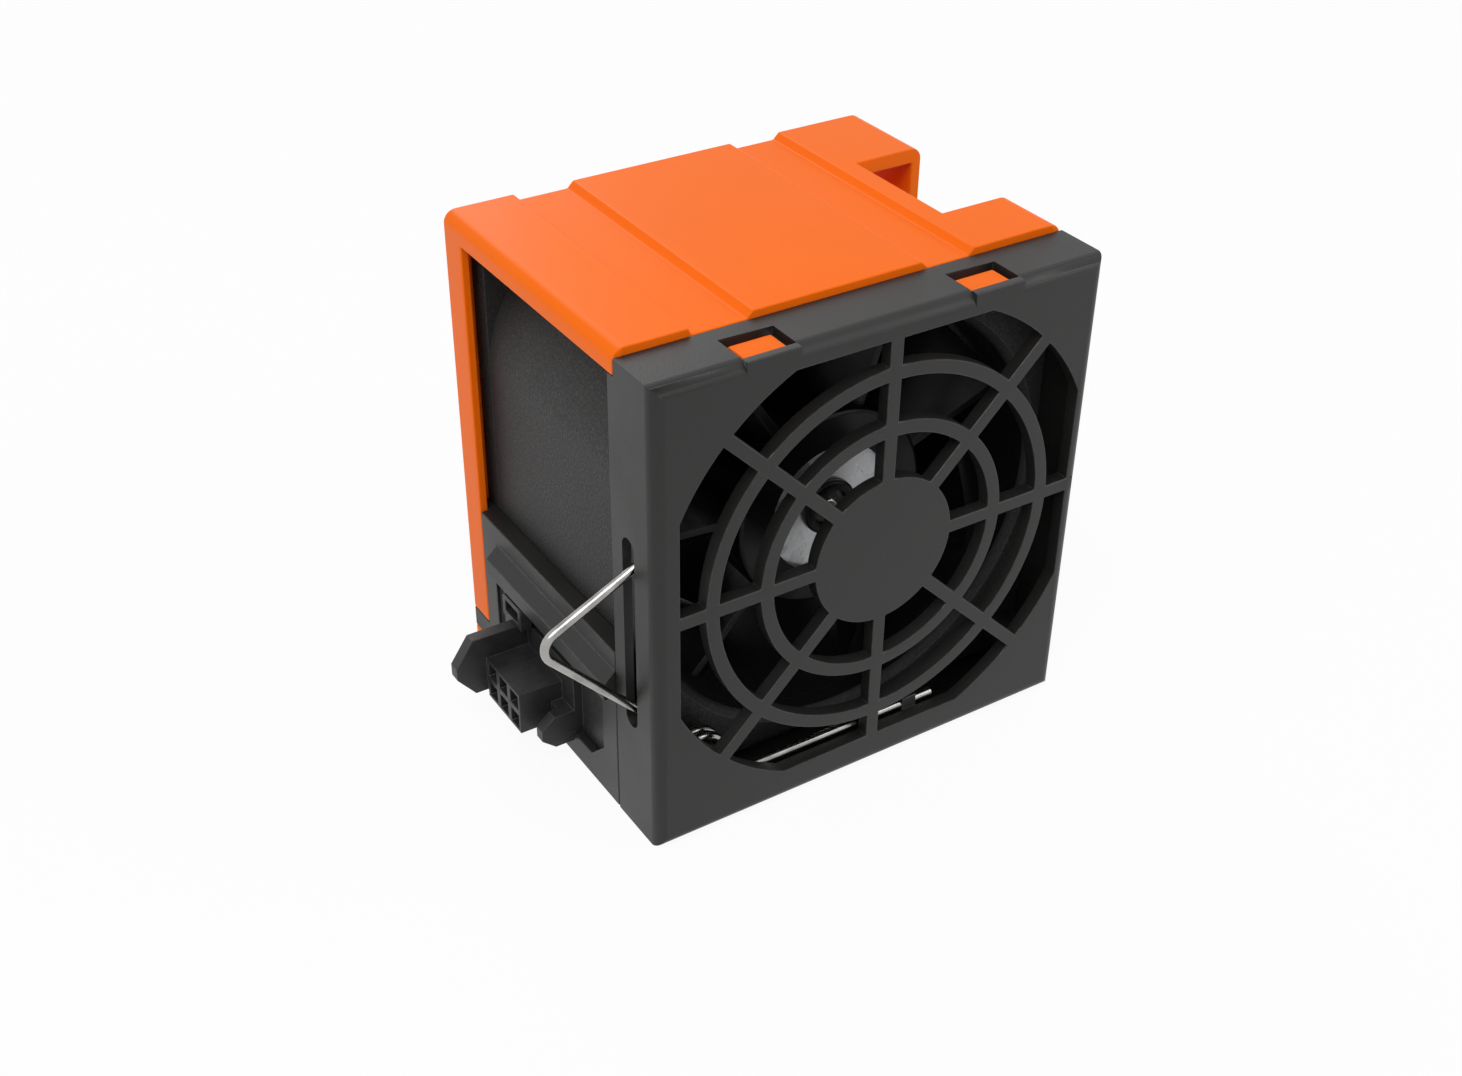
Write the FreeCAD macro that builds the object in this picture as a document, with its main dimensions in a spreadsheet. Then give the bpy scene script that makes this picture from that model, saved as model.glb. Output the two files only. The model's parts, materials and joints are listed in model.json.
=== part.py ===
"""Hot-swap server fan module: an axial fan in a black moulded shell with a clip-on cover.

Every solid is drawn in the module's own frame: +X right, -Y the grille side, +Z up, with the
origin at the middle of the underside.  Most sub-parts are drawn from the fan axis, so their
bodies are placed where that axis meets the front face.
"""
import FreeCAD, Part
import Sketcher
import math
import operator
import os
from types import SimpleNamespace

# ---------------------------------------------------------------- driving dimensions (mm)
SIZES = {
    # module shell
    "body_width": 85.0,
    "body_height": 88.0,
    "body_depth": 68.5,
    "shell_wall": 1.6,
    "seam_gap": 0.15,
    "fit_gap": 0.05,
    "seat_gap": 0.1,
    "fan_offset": 0.9,
    "fan_height": 45.3,
    # front bezel
    "bezel_depth": 13.3,
    "bezel_roof_depth": 11.5,
    "face_thickness": 2.6,
    "edge_round": 2.4,
    "opening_radius": 43.1,
    "opening_half": 38.9,
    "thin_wall": 1.3,
    # finger guard
    "guard_disc_radius": 13.6,
    "inner_ring_radius": 22.8,
    "outer_ring_radius": 33.0,
    "ring_width": 2.5,
    "spoke_width": 2.4,
    # snap windows in the bezel roof and the cover's hooks
    "snap_middle": -1.5,
    "snap_spacing": 42.3,
    "window_width": 9.6,
    "window_front": 1.5,
    "window_length": 6.5,
    "hook_width": 7.6,
    "hook_front": 2.3,
    "hook_length": 4.6,
    "hook_thickness": 1.2,
    "hook_rise": 1.0,
    "snap_clearance": 0.4,
    # catch wire
    "wire_diameter": 1.6,
    "catch_plane": 8.1,
    "catch_slot_width": 3.6,
    "catch_slot_top": 13.1,
    "catch_slot_bottom": -23.8,
    "coil_across": -32.6,
    "coil_up": -33.4,
    "coil_radius": 4.7,
    "coil_pitch": 1.85,
    "post_gap": 0.35,
    "post_length": 6.4,
    "corner_across": -60.2,
    "corner_up": -1.8,
    "corner_bend": 3.0,
    "leg_end": 15.2,
    "coil_lead": 4.4,
    "coil_split": 0.02,
    "knee_across": -41.0,
    "knee_up": -22.1,
    "hook_across": -40.2,
    "hook_up": 8.1,
    "hook_bend_length": 3.2,
    "keeper_across": 10.0,
    "keeper_width": 3.0,
    # cover
    "plateau_rise": 1.2,
    "cover_round": 2.3,
    "flange_drop": 3.0,
    "left_plateau_end": -30.3,
    "middle_plateau_start": -18.9,
    "middle_plateau_end": 12.9,
    "right_plateau_start": 23.4,
    "plateau_slope": 1.2,
    "rear_strip_depth": 6.0,
    "rear_border": 2.2,
    "rear_leg_width": 5.0,
    "strip_foot_height": 4.1,
    "band_height": 4.1,
    "tongue_thickness": 1.2,
    "notch_inner": 27.2,
    "notch_front": 24.9,
    "notch_length": 24.6,
    "handle_drop": 15.2,
    "handle_wall": 2.0,
    # lower housing
    "ledge_up": -12.3,
    "ledge_thickness": 1.5,
    "rail_up": -16.0,
    "rail_height": 5.4,
    "rail_reach": 2.3,
    "rail_bevel": 2.2,
    "rail_length": 43.0,
    "port_front": 18.4,
    "port_length": 30.4,
    "port_low": -40.3,
    "port_high": -21.6,
    "port_round": 4.5,
    "panel_groove_start": 55.0,
    "panel_groove_width": 2.8,
    "panel_groove_height": 14.0,
    "panel_groove_depth": 0.8,
    "cradle_spacing": 50.0,
    "cradle_width": 2.0,
    "rear_sill": 8.0,
    # fan housing
    "fan_size": 80.0,
    "fan_front": 10.0,
    "fan_length": 56.0,
    "flange_thickness": 4.5,
    "flange_corner": 4.0,
    "barrel_corner": 23.0,
    "bore_radius": 38.2,
    "mouth_round": 1.4,
    "hole_spacing": 71.5,
    "hole_radius": 2.15,
    "vane_count": 11,
    "vane_thickness": 1.2,
    "vane_length": 12.0,
    "vane_lean": 5.0,
    "base_front": 46.5,
    "base_length": 14.0,
    "base_wall": 2.0,
    "base_radius": 18.2,
    "base_skirt": 1.5,
    "socket_depth": 4.0,
    # impeller and rotor
    "impeller_front": 15.2,
    "impeller_length": 28.6,
    "hub_radius": 18.5,
    "hub_wall": 1.6,
    "hub_lip": 1.0,
    "hub_window": 11.9,
    "hub_round": 0.8,
    "tip_gap": 0.7,
    "blade_count": 7,
    "blade_front": 17.0,
    "blade_length": 26.0,
    "blade_thickness": 1.6,
    "root_sweep": 5.5,
    "tip_sweep": 12.5,
    "blade_bulge": 2.6,
    "yoke_sheet": 0.8,
    "yoke_length": 21.5,
    "vent_circle": 9.0,
    "vent_radius": 1.4,
    "magnet_thickness": 2.0,
    "magnet_length": 15.0,
    "shaft_radius": 1.5,
    "shaft_tail": 2.2,
    "bushing_radius": 3.3,
    "bushing_length": 2.0,
    "boss_radius": 5.1,
    "boss_rise": 1.1,
    # stator and bearings
    "air_gap": 0.5,
    "stator_front": 22.0,
    "stack_height": 11.0,
    "pole_count": 4,
    "slot_mouth": 1.6,
    "slot_floor": 8.6,
    "leg_width": 4.4,
    "shoe_thickness": 1.6,
    "coil_build": 1.9,
    "sleeve_radius": 5.4,
    "bearing_radius": 4.0,
    "bearing_width": 4.0,
    "bearing_ring": 0.8,
    "bearing_lead": 2.4,
    "bearing_spacing": 18.0,
    "board_front": 41.0,
    "board_thickness": 1.2,
    "board_radius": 15.6,
    "chip_height": 0.9,
    # blind-mate connector
    "plug_front": 33.1,
    "plug_pitch": 4.2,
    "plug_columns": 3,
    "plug_rows": 2,
    "plug_top": -31.2,
    "plug_reach": 8.4,
    "plug_cavity": 3.0,
    "plug_depth": 6.0,
    "plug_bite": 1.6,
    "plug_flange": 1.2,
    "flange_margin": 1.6,
    "guide_reach": 14.2,
    "guide_shoulder": 10.8,
    "guide_thickness": 2.4,
    "guide_top": -26.6,
    "guide_low": -38.2,
    "guide_tip": -32.8,
    "horn_front": 28.8,
    "horn_thickness": 2.2,
    "horn_reach": 6.4,
    "horn_top": -35.0,
    "horn_low": -41.6,
    "pin_width": 1.2,
    "clip_span": 7.0,
    "clip_height": 4.6,
    "clip_width": 1.1,
    "clip_sheet": 0.5,
    # rubber mounts
    "mount_radius": 2.0,
    "mount_head": 3.4,
    "mount_boss": 3.6,
    "pad_length": 10.0,
    "pad_width": 6.0,
    "pad_across": 24.0,
}

# ------------------------------------------------- lengths that know their formulas
class Length:
    """A number together with the sheet formula that gives it."""

    def __init__(self, number, text):
        self.number = number
        self.text = text

    def __neg__(self):
        return Length(-self.number, "-(%s)" % self.text)


def as_length(item):
    return item if isinstance(item, Length) else Length(float(item), repr(float(item)))


def arithmetic(sign, work):
    """The forward and reflected methods of one operator on Length."""
    def forward(left, right):
        left, right = as_length(left), as_length(right)
        return Length(work(left.number, right.number), "(%s %s %s)" % (left.text, sign, right.text))

    def reflected(right, left):
        return forward(left, right)
    return forward, reflected


Length.__add__, Length.__radd__ = arithmetic("+", operator.add)
Length.__sub__, Length.__rsub__ = arithmetic("-", operator.sub)
Length.__mul__, Length.__rmul__ = arithmetic("*", operator.mul)
Length.__truediv__, Length.__rtruediv__ = arithmetic("/", operator.truediv)


def root(item):
    return Length(math.sqrt(item.number), "sqrt(%s)" % item.text)


def fill_sheet():
    """Write each driving dimension to the sheet under its own alias."""
    for row, (name, number) in enumerate(SIZES.items(), 1):
        SHEET.set("A%d" % row, name)
        SHEET.set("B%d" % row, str(number))
        SHEET.setAlias("B%d" % row, name)
    DOC.recompute()
    return SimpleNamespace(**{name: Length(SHEET.get(name), "sizes." + name) for name in SIZES})


DOC = FreeCAD.newDocument("fan_module")
SHEET = DOC.addObject("Spreadsheet::Sheet", "sizes")
size = fill_sheet()

# ------------------------------------------------- places measured from the fan axis
LEFT = -(size.body_width / 2 + size.fan_offset)
RIGHT = size.body_width / 2 - size.fan_offset
FLOOR = -size.fan_height
ROOF = size.body_height - size.fan_height
BACK = size.body_depth
FAN_HALF = size.fan_size / 2
FAN_BACK = size.fan_front + size.fan_length
BARREL_FRONT = size.fan_front + size.flange_thickness
BARREL_BACK = FAN_BACK - size.flange_thickness
COVER_FRONT = size.bezel_roof_depth + size.seam_gap
BOX_FRONT = size.bezel_depth + size.seam_gap
FLANGE_LOW = ROOF - size.flange_drop
CEILING = ROOF - size.shell_wall
STRIP_FRONT = BACK - size.rear_strip_depth
BAND_LOW = FLOOR + size.strip_foot_height
BAND_HIGH = BAND_LOW + size.band_height
WINDOW_BACK = size.window_front + size.window_length
HANDLE_FRONT = size.notch_front + size.notch_length
HANDLE_LOW = ROOF + size.plateau_rise - size.handle_drop
TIP_RADIUS = size.bore_radius - size.tip_gap
SKIRT_RADIUS = size.hub_radius - size.hub_wall
YOKE_FRONT = size.impeller_front + size.hub_lip
YOKE_BACK = YOKE_FRONT + size.yoke_length
MAGNET_OUTER = SKIRT_RADIUS - size.fit_gap - size.yoke_sheet
MAGNET_INNER = MAGNET_OUTER - size.magnet_thickness
STATOR_RADIUS = MAGNET_INNER - size.air_gap
STATOR_BACK = size.stator_front + size.stack_height
MAGNET_FRONT = size.stator_front + (size.stack_height - size.magnet_length) / 2
FRONT_BEARING = size.stator_front - size.bearing_lead
REAR_BEARING = FRONT_BEARING + size.bearing_spacing
SHAFT_BACK = REAR_BEARING + size.bearing_width + size.shaft_tail
SLEEVE_BACK = size.base_front + size.socket_depth
LEG_UP = size.coil_up - size.coil_radius
WIRE_RADIUS = size.wire_diameter / 2
COIL_TURNS = 2.25
WIRE_FLATS = 12
COIL_ROUND = size.coil_radius * (2 * math.pi)
TURN_LENGTH = root(COIL_ROUND * COIL_ROUND + size.coil_pitch * size.coil_pitch)
LEG_PLANE = size.catch_plane - size.coil_pitch * (COIL_TURNS + size.coil_lead / TURN_LENGTH)
PLUG_BACK = size.plug_front + size.plug_pitch * size.plug_columns
PLUG_LOW = size.plug_top - size.plug_pitch * size.plug_rows


def bind(item, prop, length):
    """Tie a property to the formula of a length."""
    item.setExpression(prop, as_length(length).text)


# ------------------------------------------------- bodies, sketches and features
def new_body(label):
    """A body for one sub-part, placed where the fan axis meets the front face."""
    body = DOC.addObject("PartDesign::Body", label)
    body.Label = label
    body.AllowCompound = True
    bind(body, "Placement.Base.x", size.fan_offset)
    bind(body, "Placement.Base.y", -size.body_depth / 2)
    bind(body, "Placement.Base.z", size.fan_height)
    return body


def origin_feature(body, role):
    return [item for item in body.Origin.OriginFeatures if item.Role == role][0]


def new_sketch(body, plane, level):
    """A sketch parallel to XY, XZ or YZ, at a level along the third axis."""
    sketch = body.newObject("Sketcher::SketchObject", body.Label + "_sketch")
    sketch.AttachmentSupport = (origin_feature(body, plane + "_Plane"), [""])
    sketch.MapMode = "FlatFace"
    bind(sketch, "AttachmentOffset.Base.z", -as_length(level) if plane == "XZ" else level)
    return sketch


def spot(across, up):
    return FreeCAD.Vector(as_length(across).number, as_length(up).number, 0)


def pin_point(sketch, edge, end, across, up):
    """Hold a point of an edge at two lengths from the sketch's origin."""
    for kind, length in (("DistanceX", as_length(across)), ("DistanceY", as_length(up))):
        index = sketch.addConstraint(Sketcher.Constraint(kind, -1, 1, edge, end, length.number))
        bind(sketch, "Constraints[%d]" % index, length)


def hold_radius(sketch, edge, radius):
    index = sketch.addConstraint(Sketcher.Constraint("Radius", edge, as_length(radius).number))
    bind(sketch, "Constraints[%d]" % index, radius)


def outline(body, plane, level, corners):
    """A closed sketch of straight edges through the corners."""
    sketch = new_sketch(body, plane, level)
    draw_outline(sketch, corners)
    return sketch


def draw_outline(sketch, corners):
    first = sketch.GeometryCount
    count = len(corners)
    for index in range(count):
        edge = Part.LineSegment(spot(*corners[index]), spot(*corners[(index + 1) % count]))
        sketch.addGeometry(edge, False)
    for index in range(count):
        follower = first + (index + 1) % count
        sketch.addConstraint(Sketcher.Constraint("Coincident", first + index, 2, follower, 1))
        pin_point(sketch, first + index, 1, *corners[index])


def rectangle(body, plane, level, low, high):
    """A rectangle from its low corner to its high corner."""
    return outline(body, plane, level, [low, (high[0], low[1]), high, (low[0], high[1])])


def circles(body, plane, level, rings):
    """One circle for each (across, up, radius)."""
    sketch = new_sketch(body, plane, level)
    for across, up, radius in rings:
        circle = Part.Circle(spot(across, up), FreeCAD.Vector(0, 0, 1), as_length(radius).number)
        edge = sketch.addGeometry(circle, False)
        pin_point(sketch, edge, 3, across, up)
        hold_radius(sketch, edge, radius)
    return sketch


def grow(body, kind, sketch, length):
    """Pad or pocket a sketch forward along the axis that it faces."""
    before = body.Tip.Shape.Volume if body.Tip and kind == "Pocket" else 0.0
    feature = body.newObject("PartDesign::" + kind, body.Label + "_" + kind.lower())
    feature.Profile = sketch
    bind(feature, "Length", length)
    faces_back = sketch.AttachmentSupport[0][0].Role == "XZ_Plane"
    feature.Reversed = faces_back if kind == "Pad" else not faces_back
    DOC.recompute()
    if kind == "Pocket" and feature.Shape.Volume > before - 1e-6:
        raise RuntimeError("%s cuts nothing" % feature.Name)
    return feature


def pad(body, sketch, length):
    return grow(body, "Pad", sketch, length)


def pocket(body, sketch, length):
    return grow(body, "Pocket", sketch, length)


def block(body, low, high):
    """Add a box between two corners."""
    return pad(body, rectangle(body, "XY", low[2], low[:2], high[:2]), high[2] - low[2])


def cut_block(body, low, high):
    """Cut a box between two corners."""
    return pocket(body, rectangle(body, "XY", low[2], low[:2], high[:2]), high[2] - low[2])


def turn(body, corners, kind="Revolution"):
    """Turn an outline of (radius, depth) corners about the fan axis."""
    feature = body.newObject("PartDesign::" + kind, body.Label + "_" + kind.lower())
    feature.Profile = outline(body, "XY", 0, corners)
    feature.ReferenceAxis = (origin_feature(body, "Y_Axis"), [""])
    feature.Angle = 360.0
    DOC.recompute()
    return feature


def tube(body, inner, outer, front, back):
    """Add a ring about the fan axis."""
    return turn(body, [(inner, front), (outer, front), (outer, back), (inner, back)])


def repeat(body, features, count):
    """Copy features evenly round the fan axis."""
    pattern = body.newObject("PartDesign::PolarPattern", body.Label + "_pattern")
    pattern.Originals = features
    pattern.Axis = (origin_feature(body, "Y_Axis"), [""])
    pattern.Angle = 360.0
    bind(pattern, "Occurrences", count)
    body.Tip = pattern
    DOC.recompute()
    return pattern


def round_edges(body, radius, chosen, kind="Fillet"):
    """Fillet or chamfer the edges of the body so far for which chosen(edge) is true."""
    tip = body.Tip
    names = ["Edge%d" % index for index, edge in enumerate(tip.Shape.Edges, 1) if chosen(edge)]
    if not names:
        raise RuntimeError(body.Label + " has no edge to round")
    feature = body.newObject("PartDesign::" + kind, body.Label + "_" + kind.lower())
    feature.Base = (tip, names)
    bind(feature, "Radius" if kind == "Fillet" else "Size", radius)
    body.Tip = feature
    DOC.recompute()
    return feature


def lies_on(edge, **places):
    """True when every end of an edge has the named coordinates."""
    return all(abs(getattr(vertex.Point, axis) - as_length(place).number) < 0.01
               for vertex in edge.Vertexes for axis, place in places.items())


def runs_along(edge, axis):
    """True when a straight edge is parallel to an axis."""
    if edge.Curve.TypeId != "Part::GeomLine":
        return False
    return abs(abs(getattr(edge.Curve.Direction, axis)) - 1) < 1e-6


def turned(corners, quarter_fraction):
    """Corners turned about the sketch's origin by a fraction of a quarter turn."""
    cosine = math.cos(math.pi / 2 * quarter_fraction)
    sine = math.sin(math.pi / 2 * quarter_fraction)
    return [(across * cosine - up * sine, across * sine + up * cosine) for across, up in corners]


def solid_part(label, shape):
    """A sub-part whose shape is made directly, drawn from the fan axis like the rest."""
    item = DOC.addObject("Part::Feature", label)
    item.Label = label
    item.Shape = shape
    bind(item, "Placement.Base.x", size.fan_offset)
    bind(item, "Placement.Base.y", -size.body_depth / 2)
    bind(item, "Placement.Base.z", size.fan_height)
    return item


# ------------------------------------------------- front bezel with its finger guard
def squared_circle(body, level, radius, half):
    """A circle whose four sides are cut straight at the half width."""
    run = root(radius * radius - half * half)
    sketch = new_sketch(body, "XZ", level)
    corners = [(half, -run), (half, run), (run, half), (-run, half),
               (-half, run), (-half, -run), (-run, -half), (run, -half)]
    for index, corner in enumerate(corners):
        begin, end = spot(*corner), spot(*corners[(index + 1) % 8])
        if index % 2 == 0:
            sketch.addGeometry(Part.LineSegment(begin, end), False)
            continue
        circle = Part.Circle(spot(0, 0), FreeCAD.Vector(0, 0, 1), radius.number)
        sweep = (math.atan2(begin.y, begin.x), math.atan2(end.y, end.x))
        sketch.addGeometry(Part.ArcOfCircle(circle, *sweep), False)
    for index, corner in enumerate(corners):
        sketch.addConstraint(Sketcher.Constraint("Coincident", index, 2, (index + 1) % 8, 1))
        pin_point(sketch, index, 1, *corner)
        if index % 2:
            hold_radius(sketch, index, radius)
    return sketch


def spoke(body, start, end, quarter_fraction):
    """One straight rib of the guard, turned from the upright."""
    half = size.spoke_width / 2
    corners = [(-half, start), (half, start), (half, end), (-half, end)]
    sketch = outline(body, "XZ", 0, turned(corners, quarter_fraction))
    return pad(body, sketch, size.face_thickness)


def add_guard(body):
    """Centre disc, two rings and eight ribs, flush with the face."""
    tube(body, 0, size.guard_disc_radius, 0, size.face_thickness)
    for radius in (size.inner_ring_radius, size.outer_ring_radius):
        half = size.ring_width / 2
        tube(body, radius - half, radius + half, 0, size.face_thickness)
    start = size.guard_disc_radius - size.spoke_width / 2
    bite = size.spoke_width / 2
    straight = spoke(body, start, size.opening_half + bite, 0)
    repeat(body, [straight], 4)
    slanted = spoke(body, start, size.opening_radius + bite, 0.5)
    repeat(body, [slanted], 4)


def snap_middles():
    """How far across each of the two snaps is."""
    return [size.snap_middle + side * size.snap_spacing / 2 for side in (-1, 1)]


def cut_snap_window(body, middle):
    """A square front lip, then a window behind it through the roof."""
    left = middle - size.window_width / 2
    right = middle + size.window_width / 2
    lip_low = ROOF - size.edge_round
    block(body, (left, 0, lip_low), (right, size.window_front, ROOF))
    cut_block(body, (left, size.window_front, CEILING - size.shell_wall), (right, WINDOW_BACK, ROOF))


def cut_catch_slot(body):
    """The upright slot with round ends that the catch wire comes out of."""
    half = size.catch_slot_width / 2
    low, high = size.catch_slot_bottom + half, size.catch_slot_top - half
    front, back = size.catch_plane - half, size.catch_plane + half
    cut_block(body, (LEFT, front, low), (LEFT + size.shell_wall, back, high))
    ends = [(size.catch_plane, low, half), (size.catch_plane, high, half)]
    pocket(body, circles(body, "YZ", LEFT, ends), size.shell_wall)


def add_coil_post(body):
    """The post inside the catch coil, and the keeper that the coil's long leg runs through."""
    radius = size.coil_radius - WIRE_RADIUS - size.post_gap
    post = circles(body, "XZ", size.face_thickness, [(size.coil_across, size.coil_up, radius)])
    pad(body, post, size.post_length)
    left = size.keeper_across - size.keeper_width / 2
    right = size.keeper_across + size.keeper_width / 2
    back = LEG_PLANE + size.wire_diameter + size.fit_gap
    block(body, (left, size.face_thickness, FLOOR + size.shell_wall),
          (right, back, LEG_UP + size.wire_diameter + size.fit_gap))
    hole = circles(body, "YZ", left, [(LEG_PLANE, LEG_UP, WIRE_RADIUS + size.seat_gap)])
    pocket(body, hole, size.keeper_width)


def mount_corners():
    """The flange holes that carry a rubber mount; the catch coil has the fourth corner."""
    half = size.hole_spacing / 2
    return [(-half, half), (half, half), (half, -half)]


def front_bezel():
    body = new_body("front_bezel")
    block(body, (LEFT, 0, FLOOR), (RIGHT, size.bezel_depth, ROOF))
    round_edges(body, size.edge_round, lambda edge: lies_on(edge, y=0))
    cut_block(body, (LEFT + size.shell_wall, size.face_thickness, FLOOR + size.shell_wall),
              (RIGHT - size.thin_wall, size.bezel_depth, CEILING))
    cut_block(body, (LEFT, size.bezel_roof_depth, FLANGE_LOW - size.seam_gap),
              (RIGHT, size.bezel_depth, ROOF))
    opening = squared_circle(body, 0, size.opening_radius, size.opening_half)
    pocket(body, opening, size.face_thickness)
    add_guard(body)
    for middle in snap_middles():
        cut_snap_window(body, middle)
    cut_catch_slot(body)
    bosses = [(across, up, size.mount_boss) for across, up in mount_corners()]
    boss_length = size.fan_front - size.face_thickness - size.seat_gap
    pad(body, circles(body, "XZ", size.face_thickness, bosses), boss_length)
    add_coil_post(body)


# ------------------------------------------------- catch wire and the coil that springs it
def rounded_path(points, bends):
    """Straight runs through the points, each inner corner turned by its own bend radius."""
    edges = []
    start = points[0]
    for before, corner, after, bend in zip(points, points[1:], points[2:], bends):
        back = (before - corner).normalize()
        ahead = (after - corner).normalize()
        half = back.getAngle(ahead) / 2
        reach = bend / math.tan(half)
        crown = corner + (back + ahead).normalize() * (bend / math.sin(half) - bend)
        edges.append(Part.LineSegment(start, corner + back * reach).toShape())
        edges.append(Part.Arc(corner + back * reach, crown, corner + ahead * reach).toShape())
        start = corner + ahead * reach
    edges.append(Part.LineSegment(start, points[-1]).toShape())
    return edges


def wire_along(edges):
    """Wire of the catch's diameter along the edges, drawn with twelve narrow flats."""
    path = Part.Wire(edges)
    first = edges[0]
    heading = first.tangentAt(first.FirstParameter)
    turn_to_heading = FreeCAD.Rotation(FreeCAD.Vector(0, 0, 1), heading)
    middle = first.valueAt(first.FirstParameter)
    corners = []
    for index in range(WIRE_FLATS + 1):
        angle = 2 * math.pi * index / WIRE_FLATS
        offset = FreeCAD.Vector(math.cos(angle), math.sin(angle), 0) * WIRE_RADIUS.number
        corners.append(middle + turn_to_heading.multVec(offset))
    return path.makePipeShell([Part.makePolygon(corners)], True, True)


def coil_point(turns):
    """A point on the coil's middle line, counted in turns from its left side."""
    angle = math.pi + 2 * math.pi * turns
    radius = size.coil_radius.number
    return FreeCAD.Vector(size.coil_across.number + radius * math.cos(angle),
                          size.catch_plane.number - size.coil_pitch.number * turns,
                          size.coil_up.number + radius * math.sin(angle))


def coil_run(begin, finish):
    """The coil's middle line between two counts of turns, as quarter-turn arcs."""
    count = round(abs(finish - begin) * 4)
    step = (finish - begin) / count
    stops = [begin + step * index for index in range(count)]
    return [Part.Arc(coil_point(stop), coil_point(stop + step / 2), coil_point(stop + step)).toShape()
            for stop in stops]


def catch_wire():
    """The V that stands out of the slot, with the first turn of its coil."""
    turn = coil_run(1, 0)
    start = coil_point(0)
    heading = turn[-1].tangentAt(turn[-1].LastParameter)
    lead = start + heading * size.coil_lead.number
    lead_plane = lead.y
    corner = FreeCAD.Vector(size.corner_across.number, lead_plane, size.corner_up.number)
    knee = FreeCAD.Vector(size.knee_across.number, lead_plane, size.knee_up.number)
    hook = FreeCAD.Vector(size.hook_across.number, lead_plane, size.hook_up.number)
    hook_tip = hook - FreeCAD.Vector(0, size.hook_bend_length.number, 0)
    bend = size.corner_bend.number
    arm = rounded_path([start, lead, knee, corner, hook, hook_tip],
                       [bend, bend * 1.3, bend, size.wire_diameter.number])
    solid_part("catch_wire", wire_along(turn + arm))


def catch_coil():
    """The rest of the coil and its long leg, held by the bezel."""
    turns = coil_run(1 + size.coil_split.number, COIL_TURNS)
    end = coil_point(COIL_TURNS)
    heading = turns[-1].tangentAt(turns[-1].LastParameter)
    bend_point = end + heading * size.coil_lead.number
    leg_end = FreeCAD.Vector(size.leg_end.number, bend_point.y, bend_point.z)
    leg = rounded_path([end, bend_point, leg_end], [size.corner_bend.number])
    solid_part("catch_coil", wire_along(turns + leg))


# ------------------------------------------------- cover
def plateau(body, start, end, left_slope, right_slope):
    """A raised panel of the cover with sloped sides."""
    rise = size.plateau_rise
    corners = [(start - left_slope, ROOF), (end + right_slope, ROOF),
               (end, ROOF + rise), (start, ROOF + rise)]
    return pad(body, outline(body, "XZ", COVER_FRONT, corners), BACK - COVER_FRONT)


def add_hook(body, middle):
    """A tongue under the bezel's roof whose head stands up in the snap window."""
    half = size.hook_width / 2
    top = CEILING - size.seat_gap
    low = top - size.hook_thickness
    root_back = size.fan_front + size.flange_thickness - size.seat_gap
    block(body, (middle - half, size.hook_front, low), (middle + half, root_back, top))
    block(body, (middle - half, COVER_FRONT, low), (middle + half, root_back, ROOF))
    block(body, (middle - half, size.hook_front, low),
          (middle + half, size.hook_front + size.hook_length, top + size.hook_rise))


def add_rear_leg(body, outer, inward, top):
    """One rear leg: a strip down the side with a border behind the fan, and a foot below."""
    wall = outer + inward * size.shell_wall
    lip = outer + inward * size.rear_leg_width
    border = BACK - size.rear_border
    tongue = wall + inward * (size.seam_gap + size.tongue_thickness)
    tongue_side = wall + inward * size.seam_gap
    sides = {1: (outer, wall), -1: (wall, outer)}[inward]
    block(body, (sides[0], STRIP_FRONT, BAND_HIGH + size.seam_gap), (sides[1], BACK, top))
    sides = {1: (outer, lip), -1: (lip, outer)}[inward]
    block(body, (sides[0], border, BAND_HIGH + size.seam_gap), (sides[1], BACK, top))
    sides = {1: (tongue_side, tongue), -1: (tongue, tongue_side)}[inward]
    block(body, (sides[0], border, FLOOR), (sides[1], BACK, BAND_HIGH + size.shell_wall))
    sides = {1: (outer, tongue), -1: (tongue, outer)}[inward]
    block(body, (sides[0], border, FLOOR), (sides[1], BACK, BAND_LOW - size.seam_gap))


def top_cover():
    body = new_body("top_cover")
    block(body, (LEFT, COVER_FRONT, FLANGE_LOW), (RIGHT, BACK, ROOF))
    cut_block(body, (LEFT + size.shell_wall, COVER_FRONT, FLANGE_LOW),
              (RIGHT - size.thin_wall, BACK - size.rear_border, CEILING))
    plateau(body, LEFT, size.left_plateau_end, 0, size.plateau_slope / 2)
    plateau(body, size.middle_plateau_start, size.middle_plateau_end,
            size.plateau_slope, size.plateau_slope)
    plateau(body, size.right_plateau_start, RIGHT, size.plateau_slope, 0)
    cut_block(body, (size.notch_inner, size.notch_front, FLANGE_LOW),
              (RIGHT, HANDLE_FRONT, ROOF + size.plateau_rise))
    block(body, (size.notch_inner, HANDLE_FRONT, HANDLE_LOW),
          (RIGHT, BACK, ROOF + size.plateau_rise))
    cut_block(body, (size.notch_inner + size.handle_wall, HANDLE_FRONT, HANDLE_LOW + size.handle_wall),
              (RIGHT - size.handle_wall, BACK, CEILING))
    add_rear_leg(body, LEFT, 1, CEILING)
    add_rear_leg(body, RIGHT, -1, HANDLE_LOW + size.handle_wall)
    round_edges(body, size.cover_round, lambda edge: runs_along(edge, "y")
                and lies_on(edge, z=ROOF + size.plateau_rise)
                and (lies_on(edge, x=LEFT) or lies_on(edge, x=RIGHT)))
    for middle in snap_middles():
        add_hook(body, middle)


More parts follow.
